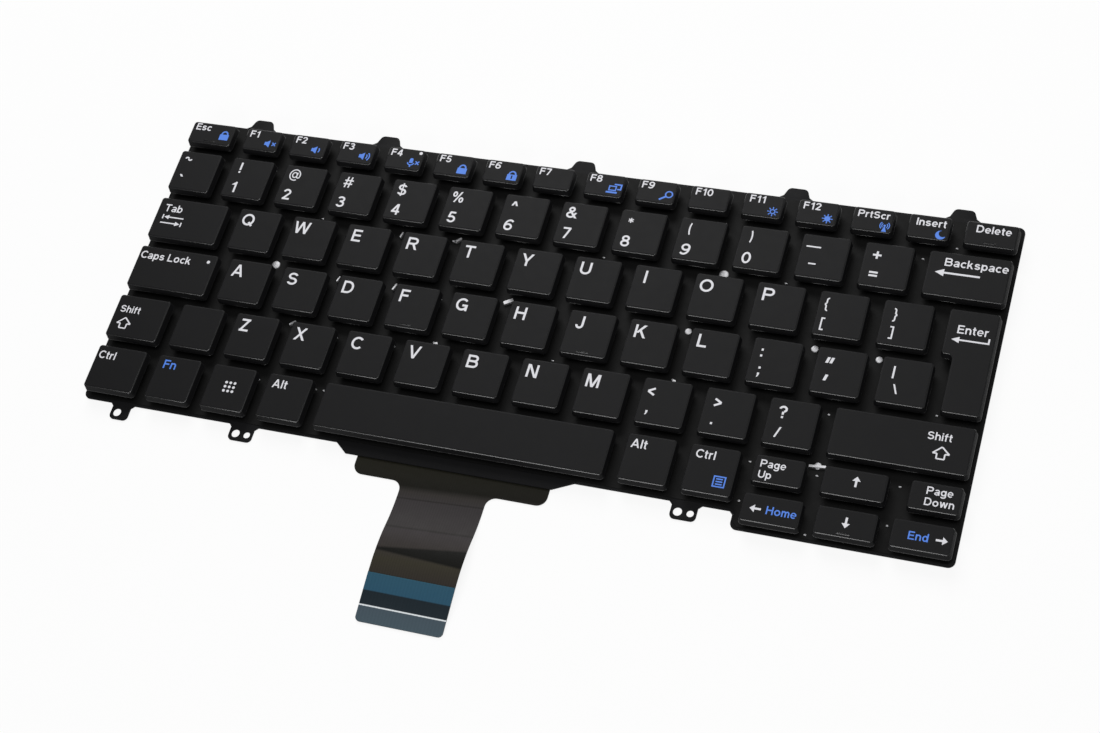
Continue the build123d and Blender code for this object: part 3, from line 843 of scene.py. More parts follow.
# Strokes of each letter, for a capital one unit tall and strokes about 0.16 wide, by their middle lines:
# V x y y upright, H y x x level, D x y x y straight, S x y x y straight with level ends,
# C x y rx ry start end along an ellipse, and W share for the weight of the strokes that follow.
STROKES = {
    "A": "S .1 0 .46 1 S .82 0 .46 1 H .3 .22 .7",
    "B": "V .08 0 1 H .92 .08 .49 H .52 .08 .5 H .08 .08 .5 C .48 .72 .22 .2 -90 90 "
         "C .49 .3 .26 .22 -90 90",
    "C": "C .46 .5 .38 .42 42 318",
    "D": "V .08 0 1 H .92 .08 .41 H .08 .08 .41 C .4 .5 .36 .42 -90 90",
    "E": "V .08 0 1 H .92 .08 .68 H .52 .08 .64 H .08 .08 .7",
    "F": "V .08 0 1 H .92 .08 .66 H .52 .08 .6",
    "G": "C .46 .5 .38 .42 42 325 H .43 .48 .88 V .8 0 .43",
    "H": "V .08 0 1 V .72 0 1 H .53 .08 .72",
    "I": "V .08 0 1",
    "J": "V .5 .3 1 C .29 .3 .21 .22 180 360",
    "K": "V .08 0 1 S .18 .36 .68 1 S .38 .58 .74 0",
    "L": "V .08 0 1 H .08 .08 .66",
    "M": "V .08 0 1 V .86 0 1 S .47 0 .12 1 S .47 0 .82 1",
    "N": "V .08 0 1 V .72 0 1 S .68 0 .12 1",
    "O": "C .48 .5 .4 .42 0 360",
    "P": "V .08 0 1 H .92 .08 .47 H .46 .08 .47 C .46 .69 .25 .23 -90 90",
    "Q": "C .48 .5 .4 .42 0 360 D .56 .3 .86 .0",
    "R": "V .08 0 1 H .92 .08 .5 H .48 .08 .5 C .49 .7 .24 .22 -90 90 S .74 0 .48 .46",
    "S": "C .39 .72 .28 .2 20 270 C .4 .3 .3 .22 -160 90",
    "T": "V .38 0 1 H .92 0 .76",
    "U": "V .08 .36 1 V .72 .36 1 C .4 .36 .32 .28 180 360",
    "V": "S .44 0 .09 1 S .44 0 .79 1",
    "W": "S .32 0 .09 1 S .32 0 .62 1 S .92 0 .62 1 S .92 0 1.15 1",
    "X": "S .1 0 .76 1 S .76 0 .1 1",
    "Y": "V .43 0 .46 S .43 .4 .09 1 S .43 .4 .77 1",
    "Z": "H .92 .04 .7 H .08 .02 .72 S .13 .08 .6 .92",
    "a": "W .85 V .55 0 .5 C .32 .5 .23 .17 0 160 C .29 .2 .21 .14 0 360 H .4 .3 .55",
    "b": "V .08 0 1 C .34 .365 .24 .29 0 360",
    "c": "C .34 .365 .26 .29 45 315",
    "d": "V .58 0 1 C .32 .365 .24 .29 0 360",
    "e": "W .9 C .34 .365 .26 .3 0 315 W .75 H .36 .1 .66",
    "f": "V .2 0 .78 C .37 .76 .17 .17 90 180 H .66 .02 .42",
    "g": "V .58 -.04 .73 C .32 .38 .24 .28 0 360 C .33 -.04 .25 .17 195 360",
    "h": "V .08 0 1 V .54 0 .42 C .31 .42 .23 .24 0 180",
    "i": "V .08 0 .73 V .08 .84 1",
    "k": "V .08 0 1 S .14 .26 .46 .73 S .28 .46 .56 0",
    "l": "V .08 0 1",
    "m": "V .08 0 .73 V .45 0 .44 V .82 0 .44 C .265 .44 .185 .22 0 180 C .635 .44 .185 .22 0 180",
    "n": "V .08 0 .73 V .54 0 .42 C .31 .42 .23 .24 0 180",
    "o": "C .35 .365 .27 .29 0 360",
    "p": "V .08 -.26 .73 C .34 .365 .24 .29 0 360",
    "r": "V .08 0 .73 C .3 .42 .22 .24 70 180",
    "s": "C .29 .52 .2 .14 15 270 C .3 .23 .22 .15 -165 90",
    "t": "V .18 .18 .94 C .32 .19 .14 .12 180 280 H .66 .02 .38",
    "w": "S .25 0 .08 .73 S .25 0 .46 .73 S .68 0 .47 .73 S .68 0 .86 .73",
    "0": "C .34 .5 .27 .42 0 360",
    "1": "V .36 0 1 S .12 .7 .36 .92",
    "2": "C .33 .69 .25 .23 -32 172 S .13 .08 .54 .6 H .08 .04 .66",
    "3": "C .32 .73 .24 .19 -90 160 C .32 .3 .27 .22 -160 90 H .53 .24 .34",
    "4": "V .5 0 1 H .3 .02 .7 S .1 .3 .46 .98",
    "5": "H .92 .16 .62 S .12 .46 .2 .94 C .34 .32 .27 .24 -160 140",
    "6": "C .35 .32 .27 .24 0 360 C .46 .4 .38 .52 52 185",
    "7": "H .92 .04 .66 S .26 0 .6 .9",
    "8": "C .35 .73 .23 .19 0 360 C .35 .3 .27 .22 0 360",
    "9": "C .35 .68 .27 .24 0 360 C .24 .6 .38 .52 232 365",
    "~": "W .8 C .17 .46 .13 .12 10 180 C .43 .46 .13 .12 190 360",
    "`": "S .22 .74 .06 .96",
    "!": "V .08 .28 1 V .08 0 .17",
    "@": "W .6 C .5 .42 .44 .5 -20 300 C .48 .42 .19 .24 0 360 D .71 .66 .66 .26 C .8 .36 .14 .2 180 330",
    "#": "W .75 S .16 0 .28 1 S .48 0 .6 1 H .66 .04 .78 H .34 0 .74",
    "$": "C .37 .7 .27 .2 20 270 C .38 .28 .29 .22 -160 90 W .65 V .375 -.1 1.1",
    "%": "W .8 C .2 .74 .13 .19 0 360 C .78 .26 .13 .19 0 360 S .26 0 .72 1",
    "^": "S .08 .52 .29 .98 S .5 .52 .29 .98",
    "&": "C .37 .76 .18 .17 0 360 C .34 .28 .27 .21 95 330 S .8 0 .28 .62 S .58 .2 .74 .5",
    "*": "W .55 D .22 1 .22 .56 D .03 .89 .41 .67 D .03 .67 .41 .89",
    "(": "W .85 C .52 .4 .44 .95 140 220",
    ")": "W .85 C -.3 .4 .44 .95 -40 40",
    "_": "W .75 H 0 0 1.1",
    "-": "W .75 H .4 0 .56",
    "+": "H .42 .02 .66 V .34 .1 .74",
    "=": "H .56 .02 .66 H .28 .02 .66",
    "{": "W .75 C .36 .84 .16 .14 90 180 V .2 .54 .84 D .22 .56 .08 .4 D .08 .4 .22 .24 "
         "V .2 -.04 .26 C .36 -.04 .16 .14 180 270",
    "}": "W .75 C .04 .84 .16 .14 0 90 V .2 .54 .84 D .18 .56 .32 .4 D .32 .4 .18 .24 "
         "V .2 -.04 .26 C .04 -.04 .16 .14 270 360",
    "[": "W .8 V .08 -.18 1 H .94 .08 .34 H -.12 .08 .34",
    "]": "W .8 V .28 -.18 1 H .94 .02 .28 H -.12 .02 .28",
    ":": "V .08 0 .17 V .08 .5 .67",
    ";": "V .08 .5 .67 V .08 0 .17 W .6 S .02 -.18 .11 .05",
    "\"": "S .06 .62 .16 1 S .3 .62 .4 1",
    "'": "S .06 .62 .16 1",
    "|": "V .08 -.2 1",
    "\\": "S .44 -.05 .06 1",
    "<": "D .08 .4 .58 .68 D .08 .4 .58 .12",
    ",": "V .08 0 .17 W .6 S .02 -.18 .11 .05",
    ">": "D .54 .4 .04 .68 D .54 .4 .04 .12",
    ".": "V .08 0 .17",
    "?": "C .3 .72 .23 .2 -70 175 V .33 .28 .52 V .33 0 .17",
    "/": "S .06 -.05 .44 1",
}


@dataclass
class Typeface:
    """Sets words in a plain bold grotesque, drawn with the strokes above.

    Attributes:
        weight: Width of a stroke, in heights of a capital.
        gap: Space between two letters, in the same unit.
        space: Width of the space between two words.
    """

    weight: float = 0.16
    gap: float = 0.13
    space: float = 0.5

    def letter(self, name: str, weight: float) -> Stencil:
        """Draws one letter from the origin.

        Args:
            name: The letter.
            weight: Width of its strokes.

        Returns:
            Its stencil, for a capital one unit tall.
        """
        stencil = Stencil()
        stencil.draw(STROKES[name], weight)
        return stencil

    def set(self, words: str, height: float, weight: float) -> Stencil:
        """Sets words about their own middle.

        Args:
            words: The words.
            height: Height of a capital in millimetres.
            weight: Weight against the typeface's own.

        Returns:
            A stencil in millimetres.
        """
        line = Stencil()
        pen = 0.0
        for name in words:
            if name == " ":
                pen += self.space - self.gap
                continue
            letter = self.letter(name, self.weight * weight)
            left, _, right, _ = letter.box()
            line.shapes += [[(x - left + pen, y) for x, y in shape] for shape in letter.shapes]
            pen += right - left + self.gap
        left, front, right, rear = line.box()
        across, upward = (left + right) / 2, (front + rear) / 2
        line.shapes = [
            [((x - across) * height, (y - upward) * height) for x, y in shape] for shape in line.shapes
        ]
        return line


def letters(names: str, height: float) -> dict[str, tuple[Legend, ...]]:
    """Gives the legends of plain letter keys.

    Args:
        names: The letters, in small type, parted by spaces.
        height: Height of a capital.

    Returns:
        Legends by the key's name.
    """
    return {name: (Legend(name.upper(), 3.7, 3.9, height),) for name in names.split()}


def pairs(table: dict[str, str], height: float) -> dict[str, tuple[Legend, ...]]:
    """Gives the legends of keys with one mark over another.

    Args:
        table: The two marks of each key, the upper one first.
        height: Height of a capital.

    Returns:
        Legends by the key's name.
    """
    places = {}
    for upper, lower in table.values():
        places[upper] = (3.5, 3.6, 1.0)
        places[lower] = (3.6, 10.9, 1.0)
    places.update({
        "~": (3.2, 2.9, 1.0), "#": (3.8, 3.6, 1.0), "<": (2.8, 4.3, 1.0), ">": (3.9, 4.5, 1.0),
        "?": (4.0, 4.2, 1.0), "{": (2.3, 4.4, 0.9), "}": (3.7, 4.7, 0.9), ":": (2.9, 4.8, 1.0),
        "_": (3.7, 4.2, 1.0), "+": (3.8, 4.1, 1.0), "@": (3.9, 3.6, 1.0), "\"": (3.9, 4.0, 1.25),
        "|": (3.6, 4.7, 0.84), "(": (3.3, 3.8, 0.84), ")": (3.5, 3.6, 0.84), "^": (3.5, 3.2, 0.9),
        ",": (2.9, 11.1, 1.0), ".": (3.5, 11.2, 1.0), "/": (3.9, 10.6, 0.8), "[": (2.4, 10.9, 0.9),
        "]": (3.6, 10.5, 0.9), "\\": (5.0, 9.9, 0.72), "-": (4.4, 9.9, 1.0), "=": (3.9, 10.5, 1.0),
        "`": (3.0, 9.3, 1.0), "'": (3.8, 9.6, 1.3), ";": (3.3, 11.0, 1.0),
    })
    return {
        name: tuple(Legend(mark, *places[mark][:2], height * places[mark][2]) for mark in marks)
        for name, marks in table.items()
    }


def function_keys(height: float) -> dict[str, tuple[Legend, ...]]:
    """Gives the legends of the function row.

    Args:
        height: Height of a capital.

    Returns:
        Legends by the key's name.
    """
    signs = {
        1: Sign.SPEAKER_OFF, 2: Sign.SPEAKER_LOW, 3: Sign.SPEAKER_HIGH, 4: Sign.MICROPHONE_OFF,
        5: Sign.PADLOCK, 6: Sign.KEYHOLE, 8: Sign.SCREENS, 9: Sign.LENS, 11: Sign.OPEN_SUN,
        12: Sign.SOLID_SUN,
    }

    def word(words: str, x: float, y: float, share: float = 1.0) -> Legend:
        """Gives a word in the bolder type of this row."""
        return Legend(words, x, y, height * share, weight=1.1)

    def sign(kind: Sign, x: float, y: float) -> Legend:
        """Gives a blue sign."""
        return Legend(kind, x, y, ink=Ink.BLUE)

    legends = {}
    for number in range(1, 13):
        short = number < 10
        marks = [word(f"F{number}", 2.9 if short else 4.0, 1.85)]
        if number in signs:
            marks.append(sign(signs[number], 9.2, 4.9 if short else 5.6))
        legends[f"f{number}"] = tuple(marks)
    legends["f4"] += (Legend(Sign.LAMP, 10.7, 1.2),)
    legends["escape"] = (word("Esc", 3.9, 1.75), sign(Sign.PADLOCK, 11.9, 4.0))
    legends["print"] = (word("PrtScr", 6.0, 2.1, 0.96), sign(Sign.MAST, 9.7, 6.0))
    legends["insert"] = (word("Insert", 6.4, 2.4), sign(Sign.MOON, 9.6, 6.1))
    legends["delete"] = (word("Delete", 7.9, 2.3),)
    return legends


def word_keys(height: float) -> dict[str, tuple[Legend, ...]]:
    """Gives the legends of the keys that carry words and arrows.

    Args:
        height: Height of a capital.

    Returns:
        Legends by the key's name.
    """
    small = height * 0.87
    return {
        "backspace": (Legend("Backspace", 13.7, 3.6, height), Legend(Sign.LONG_LEFT, 8.8, 6.9)),
        "tab": (Legend("Tab", 5.3, 3.6, height), Legend(Sign.TABS, 6.2, 8.0)),
        "enter": (Legend("Enter", 7.4, 6.3, height), Legend(Sign.RETURN, 7.2, 9.7)),
        "caps_lock": (Legend("Caps Lock", 9.5, 3.5, height), Legend(Sign.LAMP, 23.98, 2.6)),
        "shift_left": (Legend("Shift", 5.1, 4.8, height * 0.9), Legend(Sign.SHIFT, 4.6, 9.7)),
        "shift_right": (Legend("Shift", 29.4, 4.1, height * 0.9), Legend(Sign.SHIFT, 30.6, 9.0)),
        "ctrl_left": (Legend("Ctrl", 3.8, 3.2, height),),
        "fn": (Legend("Fn", 4.4, 2.9, height * 1.1, Ink.BLUE),),
        "super": (Legend(Sign.DOTS, 7.3, 6.9),),
        "alt_left": (Legend("Alt", 4.2, 3.2, height * 1.05),),
        "alt_right": (Legend("Alt", 3.7, 3.0, height * 1.05),),
        "ctrl_right": (Legend("Ctrl", 4.5, 2.8, height), Legend(Sign.LIST, 10.1, 10.4, ink=Ink.BLUE)),
        "page_up": (Legend("Page", 5.2, 2.9, small), Legend("Up", 3.5, 6.2, small)),
        "up": (Legend(Sign.UP, 9.2, 3.5),),
        "page_down": (Legend("Page", 7.9, 2.7, small), Legend("Down", 8.3, 5.7, small)),
        "left": (Legend(Sign.LEFT, 3.9, 4.4), Legend("Home", 11.2, 4.3, small * 1.06, Ink.BLUE)),
        "down": (Legend(Sign.DOWN, 8.3, 4.0),),
        "right": (Legend("End", 7.3, 4.3, small * 1.05, Ink.BLUE), Legend(Sign.RIGHT, 13.6, 4.4)),
    }


@dataclass
class KeyBlock:
    """The keycaps and their print.

    Attributes:
        flank: How far each side leans in.
        wall: Thickness of the skirt.
        ceiling: Thickness of the top.
        corner: Radius of the cap's corners in plan.
        enter_step: Width of the corner that the stepped cap lacks.
        enter_drop: Depth of that corner.
        homing_bar: Length, width and height of the bar that a finger feels.
        homing_inset: Distance of that bar from the front of the flat top.
        fixed_names: Keys of the fixed rows, from the rear left.
        homing_names: Keys with such a bar.
        edge: Width of the rounding round the top.
        lip: Height of the small lip round the foot.
        ink_depth: Thickness of the print.
        ink_step: How much higher each stroke lies than the one before, so that no two faces fall together.
    """

    flank: float = 0.4
    wall: float = 1.0
    ceiling: float = 0.9
    corner: float = 1.25
    enter_step: float = 3.33
    enter_drop: float = 18.15
    homing_bar: tuple[float, float, float] = (4.0, 0.5, 0.2)
    homing_inset: float = 1.0
    fixed_names: tuple[str, ...] = tuple(
        "escape f1 f2 f3 f4 f5 f6 f7 f8 f9 f10 f11 f12 print insert delete grave 1 2 3 4 5 6 7 8 9 0 "
        "minus equals page_up up page_down left down right".split()
    )
    homing_names: tuple[str, ...] = ("escape", "delete", "f", "j", "down")
    edge: float = 0.28
    lip: float = 0.2
    ink_depth: float = 0.02
    ink_step: float = 0.002
    typeface: Typeface = field(default_factory=Typeface)

    def __post_init__(self) -> None:
        """Reads the heights from the frame and lays out the legends."""
        low, high = box_mm("key_q")
        self.base = low.z
        self.top = high.z
        marks = {
            "grave": "~`", "1": "!1", "2": "@2", "3": "#3", "4": "$4", "5": "%5", "6": "^6", "7": "&7",
            "8": "*8", "9": "(9", "0": ")0", "minus": "_-", "equals": "+=", "bracket_left": "{[",
            "bracket_right": "}]", "semicolon": ":;", "quote": "\"'", "backslash": "|\\", "comma": "<,",
            "period": ">.", "slash": "?/",
        }
        self.legends = {
            **letters("q w e r t y u i o p a s d f g h j k l z x c v b n m", 4.25),
            **pairs(marks, 3.9),
            **function_keys(2.45),
            **word_keys(2.65),
        }

    def rings(self, corners: Sequence[Point]) -> list[tuple[list[Vector], float]]:
        """Lays the rings of a cap from its ceiling down the pocket, round the rim and up to the flat top.

        Args:
            corners: Corners of the cap's foot, anticlockwise.

        Returns:
            The rings, with their heights.
        """
        base, top = self.base, self.top
        lean = self.flank / (top - base)
        steps = (
            (self.wall + 0.25, top - self.ceiling), (self.wall, top - self.ceiling),
            (self.wall, base + 0.15), (self.wall - 0.1, base), (0.12, base), (0.04, base + 0.03),
            (0.02, base + self.lip), (self.lip * 0.42, base + self.lip * 1.35),
            (self.flank - lean * self.edge, top - self.edge), (self.flank + 0.02, top - self.edge * 0.75),
            (self.flank + self.edge * 0.75, top - 0.02), (self.flank + self.edge, top),
            (self.flank + self.edge * 2, top),
        )
        return [(lay_outline(corners, inset, self.corner), height) for inset, height in steps]

    def takes_edge_highlight(self, face: bmesh.types.BMFace) -> bool:
        """Tells whether a face is part of a cap's top edge or of the lip round its foot, which take the
        painted edge highlight.

        Args:
            face: A face of the cap.

        Returns:
            True where the face takes the glossier, lighter material that paints the edge highlight.
        """
        heights = [vertex.co.z for vertex in face.verts]
        rise = max(heights) - min(heights)
        top_edge = min(heights) > self.top - self.edge * 0.8 and rise > self.edge * 0.3
        foot_lip = face.normal.z > 0.3 and max(heights) < self.base + self.lip * 2
        return top_edge or foot_lip

    def add_cap(self, mesh: Mesh, name: str, low: Vector, high: Vector) -> None:
        """Adds one cap with its print.

        Args:
            mesh: The mesh that takes it.
            name: The key's name.
            low: Lowest corner of its foot.
            high: Highest corner of its foot.
        """
        corners = rectangle(low, high)
        if name == "enter":
            inner = Vector((low.x + self.enter_step, low.y + self.enter_drop))
            corners = [(inner.x, low.y), *corners[1:], (low.x, inner.y), (inner.x, inner.y)]
        cap = skin(mesh, self.rings(corners))
        mesh.normal_update()
        # Top edges and the lip round the foot get the glossier, lighter material of the painted edge
        # highlight.
        for face in cap:
            if self.takes_edge_highlight(face):
                face.material_index = EDGE_HIGHLIGHT_SLOT
        left, rear, front = low.x + self.flank, high.y - self.flank, low.y + self.flank
        if name in self.homing_names:
            length, width, height = self.homing_bar
            middle = Vector(((low.x + high.x) / 2, front + self.homing_inset))
            half = Vector((length / 2, width / 2))
            bar = rectangle(middle - half, middle + half)
            steps = ((0.0, -0.05), (0.0, height * 0.2), (0.14, height * 0.9), (0.2, height))
            rings = [(lay_outline(bar, inset, 0.25), self.top + rise) for inset, rise in steps]
            # The homing bar gets the painted edge highlight too.
            for face in skin(mesh, rings):
                face.material_index = EDGE_HIGHLIGHT_SLOT
        for legend in self.legends.get(name, ()):
            self.add_print(mesh, legend, Vector((left + legend.x, rear - legend.y, self.top)))

    def add_print(self, mesh: Mesh, legend: Legend, place: Vector) -> None:
        """Prints words or a sign on a cap.

        Args:
            mesh: The cap's mesh.
            legend: The mark and its ink.
            place: Middle of the mark on the cap's top.
        """
        if isinstance(legend.mark, Sign):
            stencil = Stencil()
            stencil.draw(legend.mark.value)
        else:
            stencil = self.typeface.set(legend.mark, legend.height, legend.weight)
        for layer, shape in enumerate(stencil.shapes):
            top = place.z + self.ink_depth / 2 + layer * self.ink_step
            area = sum(a[0] * b[1] - b[0] * a[1] for a, b in zip(shape, shape[1:] + shape[:1]))
            points = [Vector(point) + place.xy for point in (shape if area > 0 else shape[::-1])]
            for face in skin(mesh, [(points, place.z - self.ink_depth / 2), (points, top)]):
                face.material_index = legend.ink.value
                face.smooth = False

    def fixed_boxes(self) -> list[Box]:
        """Finds the caps of the fixed rows, from the rear left.

        Returns:
            The lowest and highest corner of each cap.
        """
        probe = bmesh.new()
        probe.from_mesh(bpy.data.objects["fixed_row_keys"].data)
        bmesh.ops.remove_doubles(probe, verts=probe.verts, dist=1e-6)
        boxes = []
        waiting = set(probe.verts)
        while waiting:
            edge = [waiting.pop()]
            island = list(edge)
            while edge:
                for link in edge.pop().link_edges:
                    for vertex in link.verts:
                        if vertex in waiting:
                            waiting.remove(vertex)
                            island.append(vertex)
                            edge.append(vertex)
            spots = [vertex.co / MM for vertex in island]
            sides = list(zip(*spots))
            boxes.append((Vector([min(side) for side in sides]), Vector([max(side) for side in sides])))
        probe.free()
        return sorted(boxes, key=lambda box: (-round(box[1].y), box[0].x))

    def build(self, sliding: Sequence[str]) -> None:
        """Builds every cap, one piece for each sliding key and one for the fixed rows.

        Args:
            sliding: Names of the sliding keys.
        """
        finishes = (KEYCAP_ABS, WHITE_INK, BLUE_INK, EDGE_HIGHLIGHT_ABS)
        for name in sliding:
            mesh = bmesh.new()
            self.add_cap(mesh, name, *box_mm(f"key_{name}"))
            piece = to_object(f"keycap_{name}", mesh, finishes)
            keep(piece, f"cap_{name}", "keycap_plastic", f"key_{name}")
        mesh = bmesh.new()
        for name, (low, high) in zip(self.fixed_names, self.fixed_boxes()):
            self.add_cap(mesh, name, low, high)
        keep(to_object("fixed_keycaps", mesh, finishes), "base", "keycap_plastic", "fixed_row_keys")


@dataclass(frozen=True)
class Spot:
    """A place where a repeated shape is set.

    Attributes:
        place: The place in millimetres.
        turn: Turn about Z in radians.
        dome: Whether the second of the two shapes stands there.
        size: Scale of the shape.
    """

    place: Vector
    turn: float = 0.0
    dome: bool = False
    size: float = 1.0


@dataclass
class Scatter:
    """A Geometry Nodes tree that sets a shape on every point, turned and scaled as the point says."""

    name: str = "set shapes on points"

    def tree(self) -> Tree:
        """Builds the tree, or finds it if it is already built.

        Returns:
            The tree, with the named inputs Frame, Frame finish, Dome and Dome finish.
        """
        known = bpy.data.node_groups.get(self.name)
        if known:
            return known
        tree = bpy.data.node_groups.new(self.name, "GeometryNodeTree")
        inputs = (
            ("Geometry", "Geometry"), ("Frame", "Object"), ("Frame finish", "Material"), ("Dome", "Object"),
            ("Dome finish", "Material"),
        )
        for label, kind in inputs:
            tree.interface.new_socket(label, in_out="INPUT", socket_type=f"NodeSocket{kind}")
        tree.interface.new_socket("Geometry", in_out="OUTPUT", socket_type="NodeSocketGeometry")
        given = add_node(tree, "NodeGroupInput").outputs
        points = add_node(tree, "GeometryNodeMeshToPoints", links={"Mesh": given["Geometry"]})
        named = "GeometryNodeInputNamedAttribute"
        turn = add_node(tree, named, values={"Name": "turn"})
        spin = add_node(tree, "ShaderNodeCombineXYZ", links={"Z": turn.outputs["Attribute"]})
        size = add_node(tree, named, values={"Name": "size"})
        kind = add_node(tree, named, {"data_type": "BOOLEAN"}, {"Name": "dome"}).outputs["Attribute"]
        other = add_node(tree, "FunctionNodeBooleanMath", {"operation": "NOT"}, links={0: kind}).outputs[0]
        dressed = []
        for label, chosen in (("Frame", other), ("Dome", kind)):
            shape = add_node(
                tree, "GeometryNodeObjectInfo", values={"As Instance": True}, links={"Object": given[label]}
            )
            copies = add_node(
                tree,
                "GeometryNodeInstanceOnPoints",
                links={
                    "Points": points.outputs[0], "Selection": chosen, "Instance": shape.outputs["Geometry"],
                    "Rotation": spin.outputs[0], "Scale": size.outputs["Attribute"],
                },
            )
            real = add_node(tree, "GeometryNodeRealizeInstances", links={0: copies.outputs[0]})
            dressed.append(
                add_node(
                    tree,
                    "GeometryNodeSetMaterial",
                    links={"Geometry": real.outputs[0], "Material": given[f"{label} finish"]},
                )
            )
        joined = add_node(tree, "GeometryNodeJoinGeometry")
        for branch in reversed(dressed):
            tree.links.new(branch.outputs[0], joined.inputs[0])
        add_node(tree, "NodeGroupOutput", links={0: joined.outputs[0]})
        return tree

    def spread(
        self, name: str, spots: Sequence[Spot], shapes: dict[str, Piece], finishes: dict[str, Finish]
    ) -> Piece:
        """Sets shapes on points and turns the result into a plain mesh.

        Args:
            name: The new object's name.
            spots: The places.
            shapes: Objects to set, by the name of the tree's input.
            finishes: Their finishes, by the same names.

        Returns:
            The object, without a modifier.
        """
        points = bpy.data.meshes.new(f"{name} points")
        points.from_pydata([spot.place * MM for spot in spots], [], [])
        for label, kind in (("turn", "FLOAT"), ("dome", "BOOLEAN"), ("size", "FLOAT")):
            column = points.attributes.new(label, kind, "POINT")
            column.data.foreach_set("value", [getattr(spot, label) for spot in spots])
        holder = bpy.data.objects.new(f"{name} points", points)
        bpy.context.scene.collection.objects.link(holder)
        modifier = holder.modifiers.new("spread", "NODES")
        modifier.node_group = self.tree()
        chosen = {}
        for label, shape in shapes.items():
            chosen[label] = shape
            chosen[f"{label} finish"] = finishes[label].material()
        for item in modifier.node_group.interface.items_tree:
            if item.in_out == "INPUT" and item.name in chosen:
                modifier[item.identifier] = chosen[item.name]
        graph = bpy.context.evaluated_depsgraph_get()
        mesh = bpy.data.meshes.new_from_object(holder.evaluated_get(graph))
        mesh.name = name
        bpy.data.objects.remove(holder)
        made = bpy.data.objects.new(name, mesh)
        bpy.context.scene.collection.objects.link(made)
        return made


@dataclass
class Mechanism:
    """Scissor frames and rubber domes under the caps.

    Attributes:
        length: Length of a full frame.
        width: Width of a full outer frame.
        bar: Width of its bars.
        small_length: Length of a small frame.
        small_width: Width of a small outer frame.
        small_bar: Width of its bars.
        thickness: Thickness of the frames.
        gap: Gap between the inner and the outer frame.
        lowest: Height of the frames' lower edges.
        highest: Height of the frames' upper edges.
        seat: Height of the membrane.
        dome_top: Height of the domes' tops.
        space_offset: Distance of the space bar's two scissors from its middle.
        small_names: Sliding keys with small frames.
        low_depth: Depth from front to rear under which a fixed key has a small frame.
        kept_height: Share of the height that is left under a pressed cap.
    """

    length: float = 9.4
    width: float = 11.8
    bar: float = 1.1
    small_length: float = 8.4
    small_width: float = 5.6
    small_bar: float = 0.6
    thickness: float = 0.6
    gap: float = 0.2
    lowest: float = 0.8
    highest: float = 4.45
    seat: float = 0.7
    dome_top: float = 4.5
    space_offset: float = 22.0
    small_names: tuple[str, ...] = ("enter",)
    low_depth: float = 12.0
    kept_height: float = 0.52
    scatter: Scatter = field(default_factory=Scatter)

    def scissor(self, name: str, length: float, width: float, bar: float) -> Piece:
        """Builds one crossed pair, sloping along X about the origin in plan.

        Args:
            name: The object's name.
            length: Length of the frames.
            width: Width of the outer frame.
            bar: Width of the bars.

        Returns:
            The object.
        """
        full = math.asin((self.highest - self.lowest) / math.hypot(length, self.thickness))
        tilt = full - math.atan2(self.thickness, length)
        middle = Vector((0, 0, (self.lowest + self.highest) / 2))
        half = self.thickness / 2
        mesh = bmesh.new()
        outer = rectangle(Vector((-length / 2, -width / 2)), Vector((length / 2, width / 2)))
        soft = 0.1
        rings = [
            (0.0, -half + soft), (0.0, half - soft), (soft, half), (bar - soft, half), (bar, half - soft),
            (bar, -half + soft), (bar - soft, -half), (soft, -half),
        ]
        skin(mesh, [(lay_outline(outer, inset, 0.7, 3), height) for inset, height in rings], closed=True)
        mesh.transform(Matrix.Translation(middle) @ Matrix.Rotation(tilt, 4, "Y"))
        inner = bmesh.new()
        reach = width / 2 - bar - self.gap
        start, end = -length / 2, length / 2
        edge = [(start, -reach), (end, -reach), (end, bar - reach), (start + bar, bar - reach),
                (start + bar, reach - bar), (end, reach - bar), (end, reach), (start, reach)]
        levels = [(soft, -half), (0.0, -half + soft), (0.0, half - soft), (soft, half)]
        skin(inner, [(lay_outline(edge, inset, 0.3, 3), height) for inset, height in levels])
        inner.transform(Matrix.Translation(middle) @ Matrix.Rotation(-tilt, 4, "Y"))
        self.merge(mesh, inner)
        for side in (-1, 1):
            pin = bmesh.new()
            revolve(pin, ((0.28, -0.25), (0.28, 0.25)), 10)
            turn = Euler((math.pi / 2, 0, 0)).to_matrix().to_4x4()
            pin.transform(Matrix.Translation(middle + Vector((0, side * (reach + self.gap / 2), 0))) @ turn)
            self.merge(mesh, pin)
        return to_object(name, mesh, (SCISSOR_ACETAL,))

    def merge(self, mesh: Mesh, other: Mesh) -> None:
        """Adds another mesh to a mesh and frees it.

        Args:
            mesh: The mesh that grows.
            other: The mesh that is added.
        """
        carrier = bpy.data.meshes.new("carrier")
        other.to_mesh(carrier)
        other.free()
        mesh.from_mesh(carrier)
        bpy.data.meshes.remove(carrier)

    def dome(self, name: str, radius: float, neck: float) -> Piece:
        """Builds one dome on the Z axis.

        Args:
            name: The object's name.
            radius: Radius of its foot.
            neck: Radius of its button.

        Returns:
            The object.
        """
        rise = self.dome_top - self.seat
        profile = (
            (radius, 0.0), (radius, 0.16), (radius - 0.15, 0.3), (neck + (radius - neck) * 0.55, rise * 0.38),
            (neck + 0.06, rise * 0.62), (neck, rise * 0.7), (neck, rise - 0.2), (neck - 0.15, rise),
        )
        mesh = bmesh.new()
        revolve(mesh, [(reach, self.seat + height) for reach, height in profile], 20)
        return to_object(name, mesh, (DOME_RUBBER,), crease=60)

    def spots(self, name: str, low: Vector, high: Vector, turn: float) -> list[Spot]:
        """Gives the points of one key's mechanism.

        Args:
            name: The key's name.
            low: Lowest corner of its cap.
            high: Highest corner of its cap.
            turn: Turn of its scissors.

        Returns:
            The points, for the scissors first and then for the dome.
        """
        middle = Vector(((low.x + high.x) / 2, (low.y + high.y) / 2, 0))
        places = [middle]
        if name == "space":
            aside = Vector((self.space_offset, 0, 0))
            places = [middle - aside, middle + aside]
        return [Spot(place, turn) for place in places] + [Spot(middle, turn, dome=True)]

